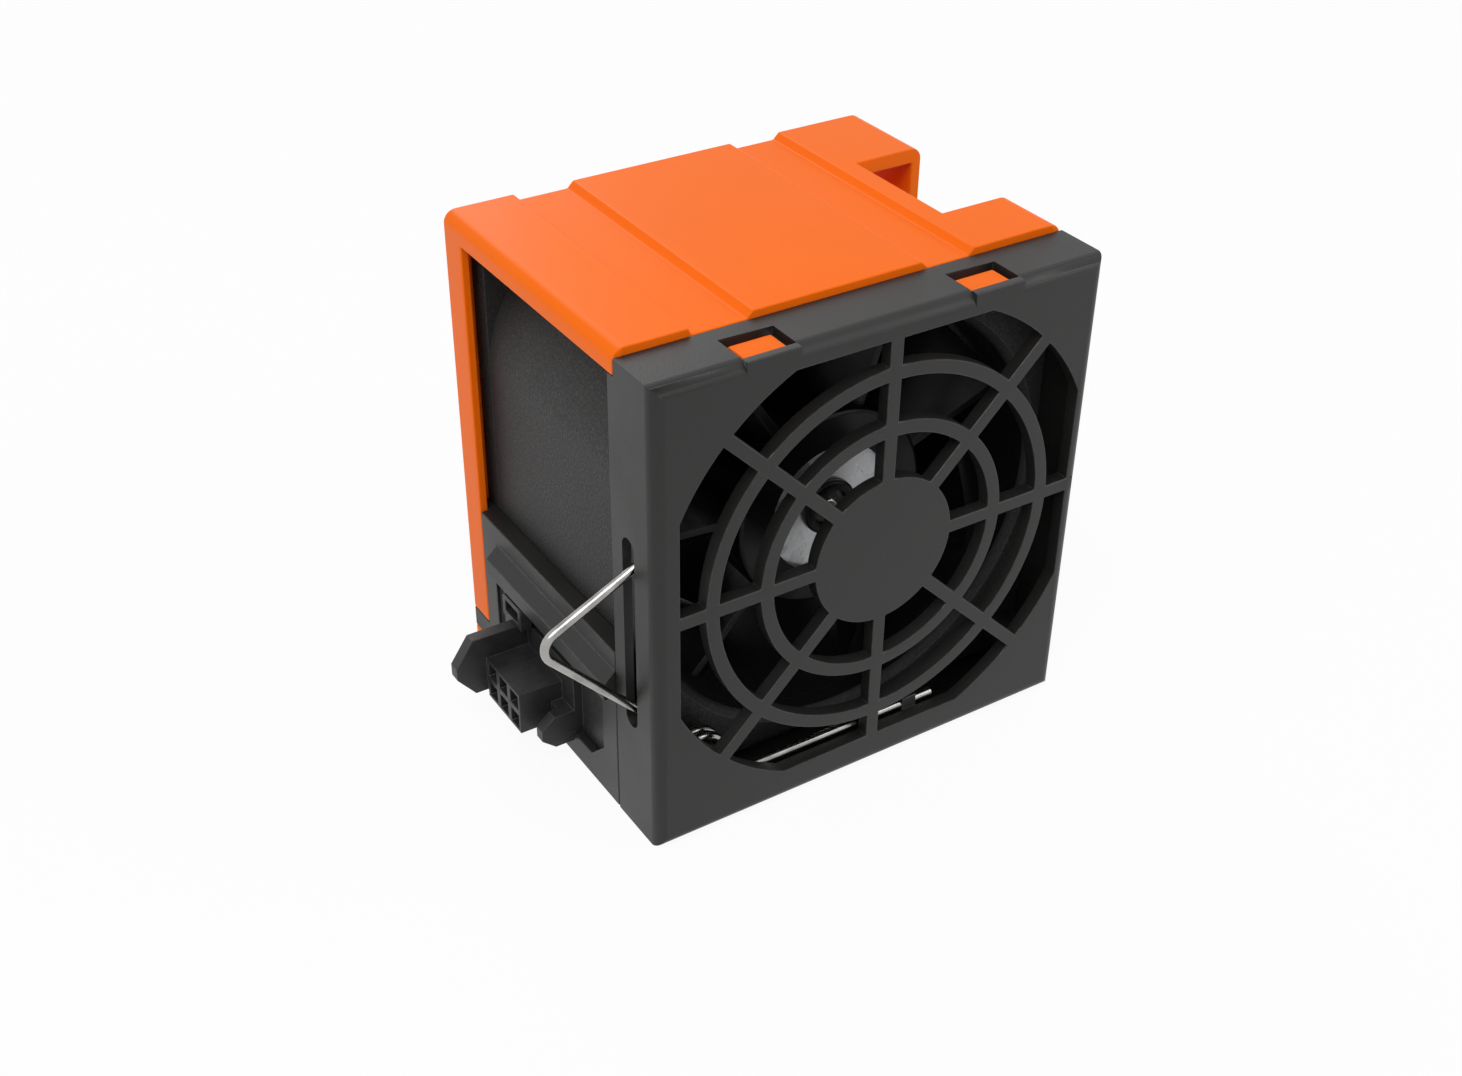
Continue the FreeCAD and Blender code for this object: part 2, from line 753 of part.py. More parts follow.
# ------------------------------------------------- lower housing
def lower_housing():
    body = new_body("lower_housing")
    inner_right = RIGHT - size.thin_wall
    ledge_low = size.ledge_up - size.ledge_thickness
    fan_side = FAN_HALF + size.seat_gap
    block(body, (LEFT, BOX_FRONT, FLOOR), (RIGHT, BACK, size.ledge_up))
    cut_block(body, (LEFT + size.shell_wall, BOX_FRONT, FLOOR + size.shell_wall),
              (inner_right, BACK, ledge_low))
    cut_block(body, (-fan_side, BOX_FRONT, ledge_low), (inner_right, BACK, size.ledge_up))
    sill_top = FLOOR + size.rear_sill
    block(body, (LEFT, BACK - size.rear_border, FLOOR), (RIGHT, BACK, sill_top))
    for side in (-1, 1):
        middle = side * size.cradle_spacing / 2
        half = size.cradle_width / 2
        block(body, (middle - half, BOX_FRONT, FLOOR + size.shell_wall),
              (middle + half, FAN_BACK, -FAN_HALF - size.seat_gap))
    add_rail(body)
    cut_port(body)
    top = size.port_high
    cut_block(body, (LEFT, size.panel_groove_start, top - size.panel_groove_height),
              (LEFT + size.panel_groove_depth, size.panel_groove_start + size.panel_groove_width, top))
    cut_rear_leg(body, LEFT, 1)
    cut_rear_leg(body, RIGHT, -1)


def add_rail(body):
    """The guide rail along the left wall, bevelled above and at its rear end."""
    outer = LEFT - size.rail_reach
    corners = [(LEFT + size.shell_wall / 2, size.rail_up - size.rail_height), (outer, size.rail_up
               - size.rail_height), (outer, size.rail_up - size.rail_bevel),
               (LEFT, size.rail_up), (LEFT + size.shell_wall / 2, size.rail_up)]
    pad(body, outline(body, "XZ", BOX_FRONT, corners), size.rail_length)


def cut_port(body):
    """The opening that the connector stands in, with one large corner."""
    front, back = size.port_front, size.port_front + size.port_length
    corners = [(front, size.port_low + size.port_round), (front + size.port_round, size.port_low),
               (back, size.port_low), (back, size.port_high), (front, size.port_high)]
    pocket(body, outline(body, "YZ", LEFT, corners), size.shell_wall)


def cut_rear_leg(body, outer, inward):
    """Room for one rear leg of the cover above, behind and below the band."""
    wall = outer + inward * size.shell_wall
    room = wall + inward * (size.seam_gap * 2 + size.tongue_thickness)
    lip = outer + inward * (size.rear_leg_width + size.seam_gap)
    border = BACK - size.rear_border - size.seam_gap
    sides = {1: (outer, wall), -1: (wall, outer)}[inward]
    cut_block(body, (sides[0], STRIP_FRONT - size.seam_gap, BAND_HIGH), (sides[1], BACK, size.ledge_up))
    if inward > 0:
        cut_block(body, (outer, border, BAND_HIGH), (lip, BACK, size.ledge_up))
    sides = {1: (wall, room), -1: (room, wall)}[inward]
    cut_block(body, (sides[0], border, FLOOR), (sides[1], BACK, BAND_HIGH))
    sides = {1: (outer, room), -1: (room, outer)}[inward]
    cut_block(body, (sides[0], border, FLOOR), (sides[1], BACK, BAND_LOW))


# ------------------------------------------------- fan housing
def square_flange(body, front, half, corner, length):
    """A square plate with rounded corners."""
    sketch = new_sketch(body, "XZ", front)
    run = half - corner
    middles = [(run, -run), (run, run), (-run, run), (-run, -run)]
    reach = [(0, -1), (1, 0), (0, 1), (-1, 0)]
    for index in range(4):
        across, up = middles[index]
        circle = Part.Circle(spot(across, up), FreeCAD.Vector(0, 0, 1), corner.number)
        begin = math.pi / 2 * (index - 1)
        sketch.addGeometry(Part.ArcOfCircle(circle, begin, begin + math.pi / 2), False)
    for index in range(4):
        leave = reach[(index + 1) % 4]
        begin = (middles[index][0] + leave[0] * corner, middles[index][1] + leave[1] * corner)
        after = middles[(index + 1) % 4]
        end = (after[0] + leave[0] * corner, after[1] + leave[1] * corner)
        sketch.addGeometry(Part.LineSegment(spot(*begin), spot(*end)), False)
        sketch.addConstraint(Sketcher.Constraint("Coincident", index, 2, 4 + index, 1))
        sketch.addConstraint(Sketcher.Constraint("Coincident", (index + 1) % 4, 1, 4 + index, 2))
        pin_point(sketch, 4 + index, 1, *begin)
        pin_point(sketch, 4 + index, 2, *end)
    for index in range(4):
        hold_radius(sketch, index, corner)
    return pad(body, sketch, length)


def fan_plate(label, front):
    """A square flange of the fan with its bore and four screw holes."""
    body = new_body(label)
    square_flange(body, front, FAN_HALF, size.flange_corner, size.flange_thickness)
    pocket(body, circles(body, "XZ", front, [(0, 0, size.bore_radius)]), size.flange_thickness)
    half = size.hole_spacing / 2
    holes = [(across * half, up * half, size.hole_radius) for across in (-1, 1) for up in (-1, 1)]
    pocket(body, circles(body, "XZ", front, holes), size.flange_thickness)
    return body


def fan_inlet_flange():
    """Front flange, with a chamfered mouth and room for the cover's hooks."""
    body = fan_plate("fan_inlet_flange", size.fan_front)
    round_edges(body, size.mouth_round, lambda edge: lies_on(edge, y=size.fan_front)
                and edge.Curve.TypeId == "Part::GeomCircle"
                and abs(edge.Curve.Radius - size.bore_radius.number) < 0.01, "Chamfer")
    reach = size.hook_width / 2 + size.snap_clearance
    low = CEILING - size.seat_gap * 2 - size.hook_thickness - size.snap_clearance
    for middle in snap_middles():
        cut_block(body, (middle - reach, size.fan_front, low), (middle + reach, BARREL_FRONT, FAN_HALF))


def fan_housing():
    """Barrel between the two flanges, with large rounded corners."""
    body = new_body("fan_housing")
    length = BARREL_BACK - BARREL_FRONT
    square_flange(body, BARREL_FRONT, FAN_HALF, size.barrel_corner, length)
    pocket(body, circles(body, "XZ", BARREL_FRONT, [(0, 0, size.bore_radius)]), length)
    cut_handle_corner(body)


def fan_outlet_flange():
    """Rear flange, without the corner that the handle needs."""
    body = fan_plate("fan_outlet_flange", BARREL_BACK)
    cut_handle_corner(body)


def cut_handle_corner(body):
    """The corner left out of the housing for the cover's handle."""
    cut_block(body, (size.notch_inner - size.snap_clearance, size.notch_front,
                     HANDLE_LOW - size.snap_clearance), (FAN_HALF, FAN_BACK, FAN_HALF))


def motor_carrier():
    """Cup behind the motor with the sleeve's socket, on slanted vanes."""
    body = new_body("motor_carrier")
    back = size.base_front + size.base_length
    inside = size.base_radius - size.base_skirt
    socket = size.sleeve_radius + size.fit_gap
    boss = socket + size.base_wall
    floor_front = back - size.base_wall
    turn(body, [(0, SLEEVE_BACK + size.fit_gap), (socket, SLEEVE_BACK + size.fit_gap),
                (socket, size.base_front), (boss, size.base_front), (boss, floor_front),
                (inside, floor_front), (inside, size.base_front),
                (size.base_radius, size.base_front), (size.base_radius, back), (0, back)])
    front = size.base_front
    end = front + size.vane_length
    lean = size.vane_lean
    corners = [(-lean, front), (size.vane_thickness - lean, front),
               (lean, end), (lean - size.vane_thickness, end)]
    start = size.base_radius - size.base_skirt
    sketch = outline(body, "XY", start, corners)
    reach = size.bore_radius - size.seat_gap
    vane = pad(body, sketch, root(reach * reach - lean * lean) - start)
    repeat(body, [vane], size.vane_count)


# ------------------------------------------------- impeller and rotor
def blade_section(body, level, sweep):
    """A blade's section across its span: two arcs from leading to trailing edge, and two caps."""
    front = size.blade_front
    back = front + size.blade_length
    bulge = size.blade_bulge
    chord = root(4 * sweep * sweep + size.blade_length * size.blade_length)
    radius = (chord * chord / 4 + bulge * bulge) / (2 * bulge)
    inward = spot(size.blade_length, 2 * sweep).normalize() * (radius - bulge).number
    sketch = new_sketch(body, "XY", level)
    leading = ((sweep, front), (sweep + size.blade_thickness, front))
    trailing = ((-sweep, back), (size.blade_thickness - sweep, back))
    for cap in (leading, trailing):
        line = sketch.addGeometry(Part.LineSegment(spot(*cap[0]), spot(*cap[1])), False)
        pin_point(sketch, line, 1, *cap[0])
        pin_point(sketch, line, 2, *cap[1])
    for end in (1, 2):
        begin, finish = spot(*trailing[end - 1]), spot(*leading[end - 1])
        centre = (begin + finish) / 2 + inward
        circle = Part.Circle(centre, FreeCAD.Vector(0, 0, 1), radius.number)
        sweep_angles = [math.atan2(*reversed(tuple(point - centre)[:2])) % (2 * math.pi)
                        for point in (begin, finish)]
        arc = sketch.addGeometry(Part.ArcOfCircle(circle, *sweep_angles), False)
        sketch.addConstraint(Sketcher.Constraint("Coincident", 0, end, arc, 2))
        sketch.addConstraint(Sketcher.Constraint("Coincident", 1, end, arc, 1))
        hold_radius(sketch, arc, radius)
    return sketch


def impeller():
    """Plastic hub and its swept blades, trimmed to run inside the bore."""
    body = new_body("impeller")
    front = size.impeller_front
    back = front + size.impeller_length
    turn(body, [(size.hub_window, front), (size.hub_radius, front), (size.hub_radius, back),
                (SKIRT_RADIUS, back), (SKIRT_RADIUS, YOKE_FRONT), (size.hub_window, YOKE_FRONT)])
    root_level = SKIRT_RADIUS + size.hub_wall / 16
    loft = body.newObject("PartDesign::AdditiveLoft", "impeller_blade")
    loft.Profile = blade_section(body, root_level, size.root_sweep)
    loft.Sections = [blade_section(body, size.bore_radius + size.tip_gap, size.tip_sweep)]
    loft.Ruled = True
    DOC.recompute()
    repeat(body, [loft], size.blade_count)
    beyond = size.bore_radius * 2
    margin = size.blade_thickness
    ring_front = size.blade_front - margin
    ring_back = size.blade_front + size.blade_length + margin
    turn(body, [(TIP_RADIUS, ring_front), (beyond, ring_front), (beyond, ring_back),
                (TIP_RADIUS, ring_back)], "Groove")
    round_edges(body, size.hub_round, lambda edge: lies_on(edge, y=front)
                and edge.Curve.TypeId == "Part::GeomCircle"
                and abs(edge.Curve.Radius - size.hub_radius.number) < 0.01)


def rotor_yoke():
    """Drawn steel cup inside the hub, its front showing through the hub's window."""
    body = new_body("rotor_yoke")
    outer = SKIRT_RADIUS - size.fit_gap
    front = YOKE_FRONT + size.fit_gap
    inner_front = front + size.yoke_sheet
    hole = size.bushing_radius + size.fit_gap
    turn(body, [(hole, front), (outer, front), (outer, YOKE_BACK), (MAGNET_OUTER, YOKE_BACK),
                (MAGNET_OUTER, inner_front), (hole, inner_front)])
    vent = circles(body, "XZ", front, [(0, size.vent_circle, size.vent_radius)])
    cut = pocket(body, vent, size.yoke_sheet)
    repeat(body, [cut], 4)


def magnet_ring():
    body = new_body("magnet_ring")
    outer = MAGNET_OUTER - size.fit_gap
    tube(body, MAGNET_INNER, outer, MAGNET_FRONT, MAGNET_FRONT + size.magnet_length)


def rotor_shaft():
    body = new_body("rotor_shaft")
    tube(body, 0, size.shaft_radius, YOKE_FRONT - size.yoke_sheet, SHAFT_BACK)
    round_edges(body, size.shaft_radius / 6, lambda edge: edge.Curve.TypeId == "Part::GeomCircle",
                "Chamfer")


def yoke_bushing():
    """Flanged bushing that carries the yoke on the shaft."""
    body = new_body("yoke_bushing")
    inner = size.shaft_radius + size.fit_gap
    front = YOKE_FRONT - size.yoke_sheet / 2
    tube(body, inner, size.bushing_radius, front, front + size.bushing_length)


def hub_boss():
    """Black moulded ring round the bushing, standing out of the yoke's front."""
    body = new_body("hub_boss")
    inner = size.bushing_radius + size.fit_gap
    tube(body, inner, size.boss_radius, YOKE_FRONT - size.boss_rise, YOKE_FRONT)
    round_edges(body, size.boss_rise / 3, lambda edge: lies_on(edge, y=YOKE_FRONT - size.boss_rise)
                and edge.Curve.Radius > size.bushing_radius.number + size.boss_rise.number / 2,
                "Chamfer")


def bearing_ring(label, front, outer_ring):
    """One ring of a bearing: the outer one stays in the sleeve, the inner one turns."""
    body = new_body(label)
    back = front + size.bearing_width
    if outer_ring:
        outer = size.bearing_radius - size.fit_gap
        tube(body, outer - size.bearing_ring, outer, front, back)
    else:
        inner = size.shaft_radius + size.fit_gap
        tube(body, inner, inner + size.bearing_ring, front, back)


def preload_washer():
    """Thin wave washer between the front bearing's inner ring and the yoke bushing."""
    body = new_body("preload_washer")
    back = FRONT_BEARING - size.fit_gap
    front = YOKE_FRONT - size.yoke_sheet / 2 + size.bushing_length + size.fit_gap
    inner = size.shaft_radius + size.fit_gap
    tube(body, inner, inner + size.bearing_ring, front, back)


def retaining_clip():
    """Split washer in the shaft's tail behind the rear bearing."""
    body = new_body("retaining_clip")
    front = REAR_BEARING + size.bearing_width + size.fit_gap
    inner = size.shaft_radius + size.fit_gap
    tube(body, inner, inner + size.clip_width, front, front + size.clip_sheet)
    half = size.clip_sheet / 2
    cut_block(body, (-half, front, 0), (half, front + size.clip_sheet, inner + size.clip_width))


# ------------------------------------------------- stator and bearings
def bearing_sleeve():
    body = new_body("bearing_sleeve")
    tube(body, size.bearing_radius, size.sleeve_radius, FRONT_BEARING, SLEEVE_BACK)


def stator_core():
    """Laminated stack: a ring on the sleeve, a leg for each pole and a split shoe ring."""
    body = new_body("stator_core")
    front, back = size.stator_front, STATOR_BACK
    shoe = STATOR_RADIUS - size.shoe_thickness
    tube(body, size.sleeve_radius + size.fit_gap, size.slot_floor, front, back)
    tube(body, shoe, STATOR_RADIUS, front, back)
    half_leg = size.leg_width / 2
    overlap = size.shoe_thickness / 2
    leg = block(body, (-half_leg, front, size.slot_floor - overlap), (half_leg, back, shoe + overlap))
    repeat(body, [leg], size.pole_count)
    mouth = size.slot_mouth / 2
    gap = [(-mouth, shoe - overlap), (mouth, shoe - overlap),
           (mouth, STATOR_RADIUS + overlap), (-mouth, STATOR_RADIUS + overlap)]
    slot = pocket(body, outline(body, "XZ", front, turned(gap, 0.5)), size.stack_height)
    repeat(body, [slot], size.pole_count)


def stator_coils():
    """One copper winding round the leg of each pole."""
    body = new_body("stator_coils")
    leg = size.leg_width / 2 + size.seat_gap
    build = leg + size.coil_build
    low = size.slot_floor + size.seat_gap
    reach = STATOR_RADIUS - size.shoe_thickness - size.seat_gap
    high = root(reach * reach - build * build)
    front = size.stator_front - size.coil_build
    back = STATOR_BACK + size.coil_build
    winding = block(body, (-build, front, low), (build, back, high))
    hole = cut_block(body, (-leg, size.stator_front - size.seat_gap, low),
                     (leg, STATOR_BACK + size.seat_gap, high))
    repeat(body, [winding, hole], size.pole_count)


def motor_board():
    """Drive board behind the stator, on the sleeve."""
    body = new_body("motor_board")
    back = size.board_front + size.board_thickness
    tube(body, size.sleeve_radius + size.fit_gap, size.board_radius, size.board_front, back)


def board_parts():
    """Drive chip and sensor soldered behind the board."""
    body = new_body("board_parts")
    front = size.board_front + size.board_thickness
    back = front + size.chip_height
    reach = size.sleeve_radius + size.chip_height
    block(body, (-size.chip_height * 3, front, reach), (size.chip_height * 3, back, reach + 4.0))
    block(body, (reach, front, -2.0), (reach + 3.0, back, 2.0))


# ------------------------------------------------- blind-mate connector
def connector_housing():
    """Two rows of cavities on a flange behind the wall, with a tall guide blade and a low horn."""
    body = new_body("connector_housing")
    outer = LEFT - size.plug_reach
    inner = LEFT + size.shell_wall + size.seat_gap
    flange_back = inner + size.plug_flange
    gap = size.seat_gap
    front = size.port_front + gap
    back = size.port_front + size.port_length - gap
    low = size.port_low + gap
    margin = size.flange_margin
    block(body, (inner, size.port_front - margin, size.port_low - margin),
          (flange_back, back + margin, size.port_high + margin))
    block(body, (LEFT, size.horn_front, low), (inner, back, size.guide_top))
    block(body, (outer, size.plug_front, PLUG_LOW), (LEFT, PLUG_BACK, size.plug_top))
    pitch = size.plug_pitch
    for column in range(int(size.plug_columns.number)):
        for row in range(int(size.plug_rows.number)):
            across = size.plug_front + pitch * (column + 0.5)
            up = size.plug_top - pitch * (row + 0.5)
            half = size.plug_cavity / 2
            cut_block(body, (outer, across - half, up - half),
                      (outer + size.plug_depth, across + half, up + half))
    blade_front = PLUG_BACK
    blade = [(LEFT, size.guide_low), (LEFT - size.guide_shoulder, size.guide_low),
             (LEFT - size.guide_reach, size.guide_tip - size.guide_thickness / 2),
             (LEFT - size.guide_reach, size.guide_tip + size.guide_thickness / 2),
             (LEFT - size.guide_shoulder, size.guide_top), (LEFT, size.guide_top)]
    pad(body, outline(body, "XZ", blade_front, blade), size.guide_thickness)
    tip = (size.horn_top + size.horn_low) / 2
    horn = [(LEFT - gap, size.horn_low), (LEFT - size.horn_reach * 0.6, size.horn_low),
            (LEFT - size.horn_reach, tip - size.horn_thickness / 2),
            (LEFT - size.horn_reach, tip + size.horn_thickness / 2),
            (LEFT - size.horn_reach * 0.6, size.horn_top), (LEFT - gap, size.horn_top)]
    pad(body, outline(body, "XZ", size.horn_front, horn), size.horn_thickness)
    web_back = size.plug_front
    block(body, (LEFT - size.horn_thickness, size.horn_front, PLUG_LOW),
          (LEFT, web_back, size.horn_top))


def connector_terminals():
    """A brass contact standing in each cavity."""
    body = new_body("connector_terminals")
    outer = LEFT - size.plug_reach
    root_end = outer + size.plug_depth
    half = size.pin_width / 2
    for column in range(int(size.plug_columns.number)):
        for row in range(int(size.plug_rows.number)):
            across = size.plug_front + size.plug_pitch * (column + 0.5)
            up = size.plug_top - size.plug_pitch * (row + 0.5)
            block(body, (outer + size.plug_bite, across - half, up - half / 2),
                  (root_end - size.fit_gap, across + half, up + half / 2))


def connector_clip():
    """Small hoop standing on the connector's guide blade, clear of the wall."""
    body = new_body("connector_clip")
    front = PLUG_BACK - size.plug_pitch / 2
    back = front + size.clip_span
    low = size.guide_top + size.seat_gap
    high = low + size.clip_height
    right = LEFT - size.seat_gap
    left = right - size.clip_width * 2
    block(body, (left, front, low), (right, back, high))
    cut_block(body, (left, front + size.clip_width, low + size.clip_width),
              (right, back - size.clip_width, high - size.clip_width))
    round_edges(body, size.clip_width, lambda edge: runs_along(edge, "x") and lies_on(edge, z=high)
                and (lies_on(edge, y=front) or lies_on(edge, y=back)))


# ------------------------------------------------- rubber mounts
def corner_mounts():
    """Rubber pins that hold the fan to the bezel's three bosses."""
    body = new_body("corner_mounts")
    shank = [(across, up, size.mount_radius) for across, up in mount_corners()]
    start = size.fan_front - size.seat_gap / 2
    pad(body, circles(body, "XZ", start, shank), size.flange_thickness + size.seat_gap)
    heads = [(across, up, size.mount_head) for across, up in mount_corners()]
    head_front = size.fan_front + size.flange_thickness + size.seat_gap / 2
    pad(body, circles(body, "XZ", head_front, heads), size.mount_radius)


def fan_pads():
    """Soft pads between the fan and the cover."""
    body = new_body("fan_pads")
    low = FAN_HALF + size.fit_gap
    high = CEILING - size.fit_gap
    half_width = size.pad_width / 2
    for across in (-size.pad_across, size.pad_across * 0):
        for front in (size.fan_front + size.flange_thickness, FAN_BACK - size.pad_length
                      - size.flange_thickness):
            block(body, (across - half_width, front, low),
                  (across + half_width, front + size.pad_length, high))


# ------------------------------------------------- build, check and write
def check_document():
    """Stop when any object failed or any sub-part has no sound shape."""
    DOC.recompute()
    for item in DOC.Objects:
        if "Invalid" in item.State or "Error" in item.State:
            raise RuntimeError("%s is %s" % (item.Name, item.State))
    for part in sub_parts():
        if part.Shape.isNull() or not part.Shape.isValid() or not part.Shape.Solids:
            raise RuntimeError(part.Label + " has no sound solid")


def sub_parts():
    return [item for item in DOC.Objects if item.TypeId in ("PartDesign::Body", "Part::Feature")]


def write_parts():
    os.makedirs("parts", exist_ok=True)
    for part in sub_parts():
        part.Shape.exportStep("parts/%s.step" % part.Label)


front_bezel()
catch_wire()
catch_coil()
top_cover()
lower_housing()
fan_inlet_flange()
fan_housing()
fan_outlet_flange()
motor_carrier()
impeller()
rotor_yoke()
magnet_ring()
rotor_shaft()
yoke_bushing()
hub_boss()
bearing_ring("front_bearing_inner", FRONT_BEARING, False)
bearing_ring("front_bearing_outer", FRONT_BEARING, True)
bearing_ring("rear_bearing_inner", REAR_BEARING, False)
bearing_ring("rear_bearing_outer", REAR_BEARING, True)
preload_washer()
retaining_clip()
bearing_sleeve()
stator_core()
stator_coils()
motor_board()
board_parts()
connector_housing()
connector_terminals()
connector_clip()
corner_mounts()
fan_pads()
check_document()
write_parts()
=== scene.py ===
"""Finishes of a hot-swap server fan module: shell, clip-on cover, fan, motor and wire catch."""

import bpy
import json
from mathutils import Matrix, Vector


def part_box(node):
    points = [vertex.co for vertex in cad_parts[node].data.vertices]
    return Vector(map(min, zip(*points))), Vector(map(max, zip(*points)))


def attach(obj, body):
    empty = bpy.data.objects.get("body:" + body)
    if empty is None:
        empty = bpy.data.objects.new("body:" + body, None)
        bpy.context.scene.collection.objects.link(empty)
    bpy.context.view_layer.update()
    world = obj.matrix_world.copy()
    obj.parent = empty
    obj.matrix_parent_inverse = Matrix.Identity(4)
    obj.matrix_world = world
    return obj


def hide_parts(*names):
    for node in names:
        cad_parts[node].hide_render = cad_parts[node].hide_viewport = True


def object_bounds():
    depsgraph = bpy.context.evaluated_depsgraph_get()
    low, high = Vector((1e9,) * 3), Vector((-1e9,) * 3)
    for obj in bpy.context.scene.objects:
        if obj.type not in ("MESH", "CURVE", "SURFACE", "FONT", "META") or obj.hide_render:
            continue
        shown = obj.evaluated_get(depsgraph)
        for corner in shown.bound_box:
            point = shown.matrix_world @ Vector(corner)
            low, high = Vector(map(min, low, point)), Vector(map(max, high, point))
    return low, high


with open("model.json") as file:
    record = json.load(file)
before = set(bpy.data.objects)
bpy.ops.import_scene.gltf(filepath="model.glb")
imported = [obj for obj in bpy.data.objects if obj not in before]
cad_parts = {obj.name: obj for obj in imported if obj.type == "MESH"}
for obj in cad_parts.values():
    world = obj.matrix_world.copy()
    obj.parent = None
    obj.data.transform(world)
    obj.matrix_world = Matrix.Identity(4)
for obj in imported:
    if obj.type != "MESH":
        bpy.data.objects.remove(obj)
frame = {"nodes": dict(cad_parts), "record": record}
cad_box = [list(corner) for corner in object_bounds()]

import json
import math

import bmesh
import bpy
from bpy.props import FloatProperty, FloatVectorProperty, IntProperty, PointerProperty
from mathutils import Matrix, Vector

bl_info = {
    "name": "Server fan module",
    "version": (1, 0, 0),
    "blender": (4, 5, 0),
    "location": "View3D > Sidebar > Fan Module",
    "description": "Dresses the parts of a hot-swap server fan module and sets up its studio",
    "category": "Object",
}

NODES = frame["nodes"]
BEHAVIOUR = frame["record"]["behaviour"]
BODY_OF = {node: body for body, nodes in BEHAVIOUR["bodies"].items() for node in nodes}
JOINTS = {joint["name"]: joint for joint in BEHAVIOUR["joints"]}
SPIN_AXIS = JOINTS["impeller_spin"]["pos_m"]

# Inside this radius the casing is also darkened with painted shade.
BORE_RADIUS = 0.0384            # the casing is smooth inside this radius and eroded outside it
BORE_FADE = 0.0004
# The finishes read this mark for worn edges and for a painted highlight on them.
ROUNDED_EDGE = "edge_wear"         # face attribute that marks the rounded edges
MERGE_DISTANCE = 1e-6
FLAT_ANGLE = math.radians(0.6)
CREASE_ANGLE = math.radians(32)
WIRE_CREASE_ANGLE = math.radians(50)
ARC_STEPS = 10                  # spans in each bend of the wire
TURN_STEPS = 32                 # spans in each turn of the coil
ARM_TURNS = 1.0                 # turns of the coil that move with the arm
FIXED_TURNS_FROM = 1.02         # where the part of the coil on the bezel begins
KNEE_BEND_RATIO = 1.3           # the knee's bend against the corner's

# input and output sockets of the Mix node, for colours
MIX_FACTOR, MIX_FIRST, MIX_SECOND, MIX_RESULT = 0, 6, 7, 2

SENSOR_WIDTH = 36.0             # millimetres
AIM_OFFSET = (-0.0027, -0.0056, -0.0092)
FLOOR_GAP = 0.0002
FLOOR_WHITENESS = 0.93
# name, place from the middle of the module, side and power of each softbox
LAMPS = (("key_lamp", (-0.42, -0.30, 0.72), 0.55, 4.0),
         ("fill_lamp", (0.75, -0.55, 0.42), 0.60, 2.5),
         ("rim_lamp", (0.15, 0.85, 0.60), 0.50, 2.4))


# ------------------------------------------------- values set in the sidebar
def length(name, description, default):
    return FloatProperty(name=name, description=description, default=default, min=0.0,
                         precision=5, subtype="DISTANCE", unit="LENGTH")


def colour(name, description, default):
    return FloatVectorProperty(name=name, description=description, default=default, size=3,
                               min=0.0, max=1.0, subtype="COLOR")


def view_angle(name, description, degrees):
    return FloatProperty(name=name, description=description, default=math.radians(degrees),
                         subtype="ANGLE", unit="ROTATION")


def spot(name, description, default):
    """A place across and up."""
    return FloatVectorProperty(name=name, description=description, default=default, size=2,
                               precision=5, subtype="XYZ", unit="LENGTH")


class EdgeSizes(bpy.types.PropertyGroup):
    shell: length("Shell edge", "Rounding of the black shell's moulded edges", 0.00022)
    cover: length("Cover edge", "Rounding of the clip-on cover's edges", 0.00026)
    fan: length("Fan edge", "Rounding of the fan casing's edges", 0.00016)
    blade: length("Blade edge", "Rounding of the blades and hub", 0.00014)
    plug: length("Connector edge", "Rounding of the connector's edges", 0.00012)
    steel: length("Steel edge", "Rounding of pressed and turned steel edges", 0.00008)
    rubber: length("Rubber edge", "Rounding of the rubber mounts", 0.0003)


class FinishColours(bpy.types.PropertyGroup):
    shell: colour("Shell", "Satin black of the bezel and lower housing",
                  (0.0125, 0.0125, 0.0118))
    cover: colour("Cover", "Bright plastic of the touch-point cover", (0.975, 0.162, 0.0030))
    fan: colour("Fan", "Charcoal of the fan casing", (0.0165, 0.0165, 0.0160))
    blade: colour("Blades", "Near-black of the impeller", (0.0028, 0.0028, 0.0030))
    zinc: colour("Zinc", "Galvanised steel of the rotor yoke", (0.640, 0.650, 0.660))
    steel: colour("Steel", "Drawn and ground steel", (0.610, 0.600, 0.580))
    brass: colour("Brass", "Turned brass", (0.780, 0.550, 0.230))
    copper: colour("Copper", "Enamelled winding wire", (0.720, 0.260, 0.110))
    board: colour("Board", "Solder mask of the motor board", (0.012, 0.095, 0.035))
    plug: colour("Connector", "Moulded nylon of the connector", (0.0105, 0.0105, 0.0105))
    rubber: colour("Rubber", "Soft mounts and pads", (0.0140, 0.0135, 0.0130))


class CatchSizes(bpy.types.PropertyGroup):
    wire: length("Wire diameter", "Diameter of the catch's spring wire", 0.0016)
    coil: length("Coil radius", "Middle radius of the torsion coil", 0.0047)
    pitch: length("Coil pitch", "Step from one turn to the next", 0.00185)
    turns: FloatProperty(name="Turns", description="Turns of the torsion coil", default=2.25,
                         min=1.25)
    lead: length("Lead", "Straight run between the coil and each bend", 0.0044)
    bend: length("Bend radius", "Radius of the arm's corners", 0.0030)
    knee: spot("Knee", "Where the arm leans out of the slot", (-0.0401, 0.0232))
    corner: spot("Corner", "Outer corner of the arm, under the thumb", (-0.0593, 0.0435))
    hook: spot("Hook", "Where the arm turns back into the slot", (-0.0393, 0.0534))
    tip: length("Hook tip", "Length of the hook's end", 0.0032)
    leg_end: FloatProperty(name="Leg end", description="End of the coil's long leg, across",
                           default=0.0161, subtype="DISTANCE", unit="LENGTH")
    sides: IntProperty(name="Sides", description="Facets round the wire", default=24, min=8)


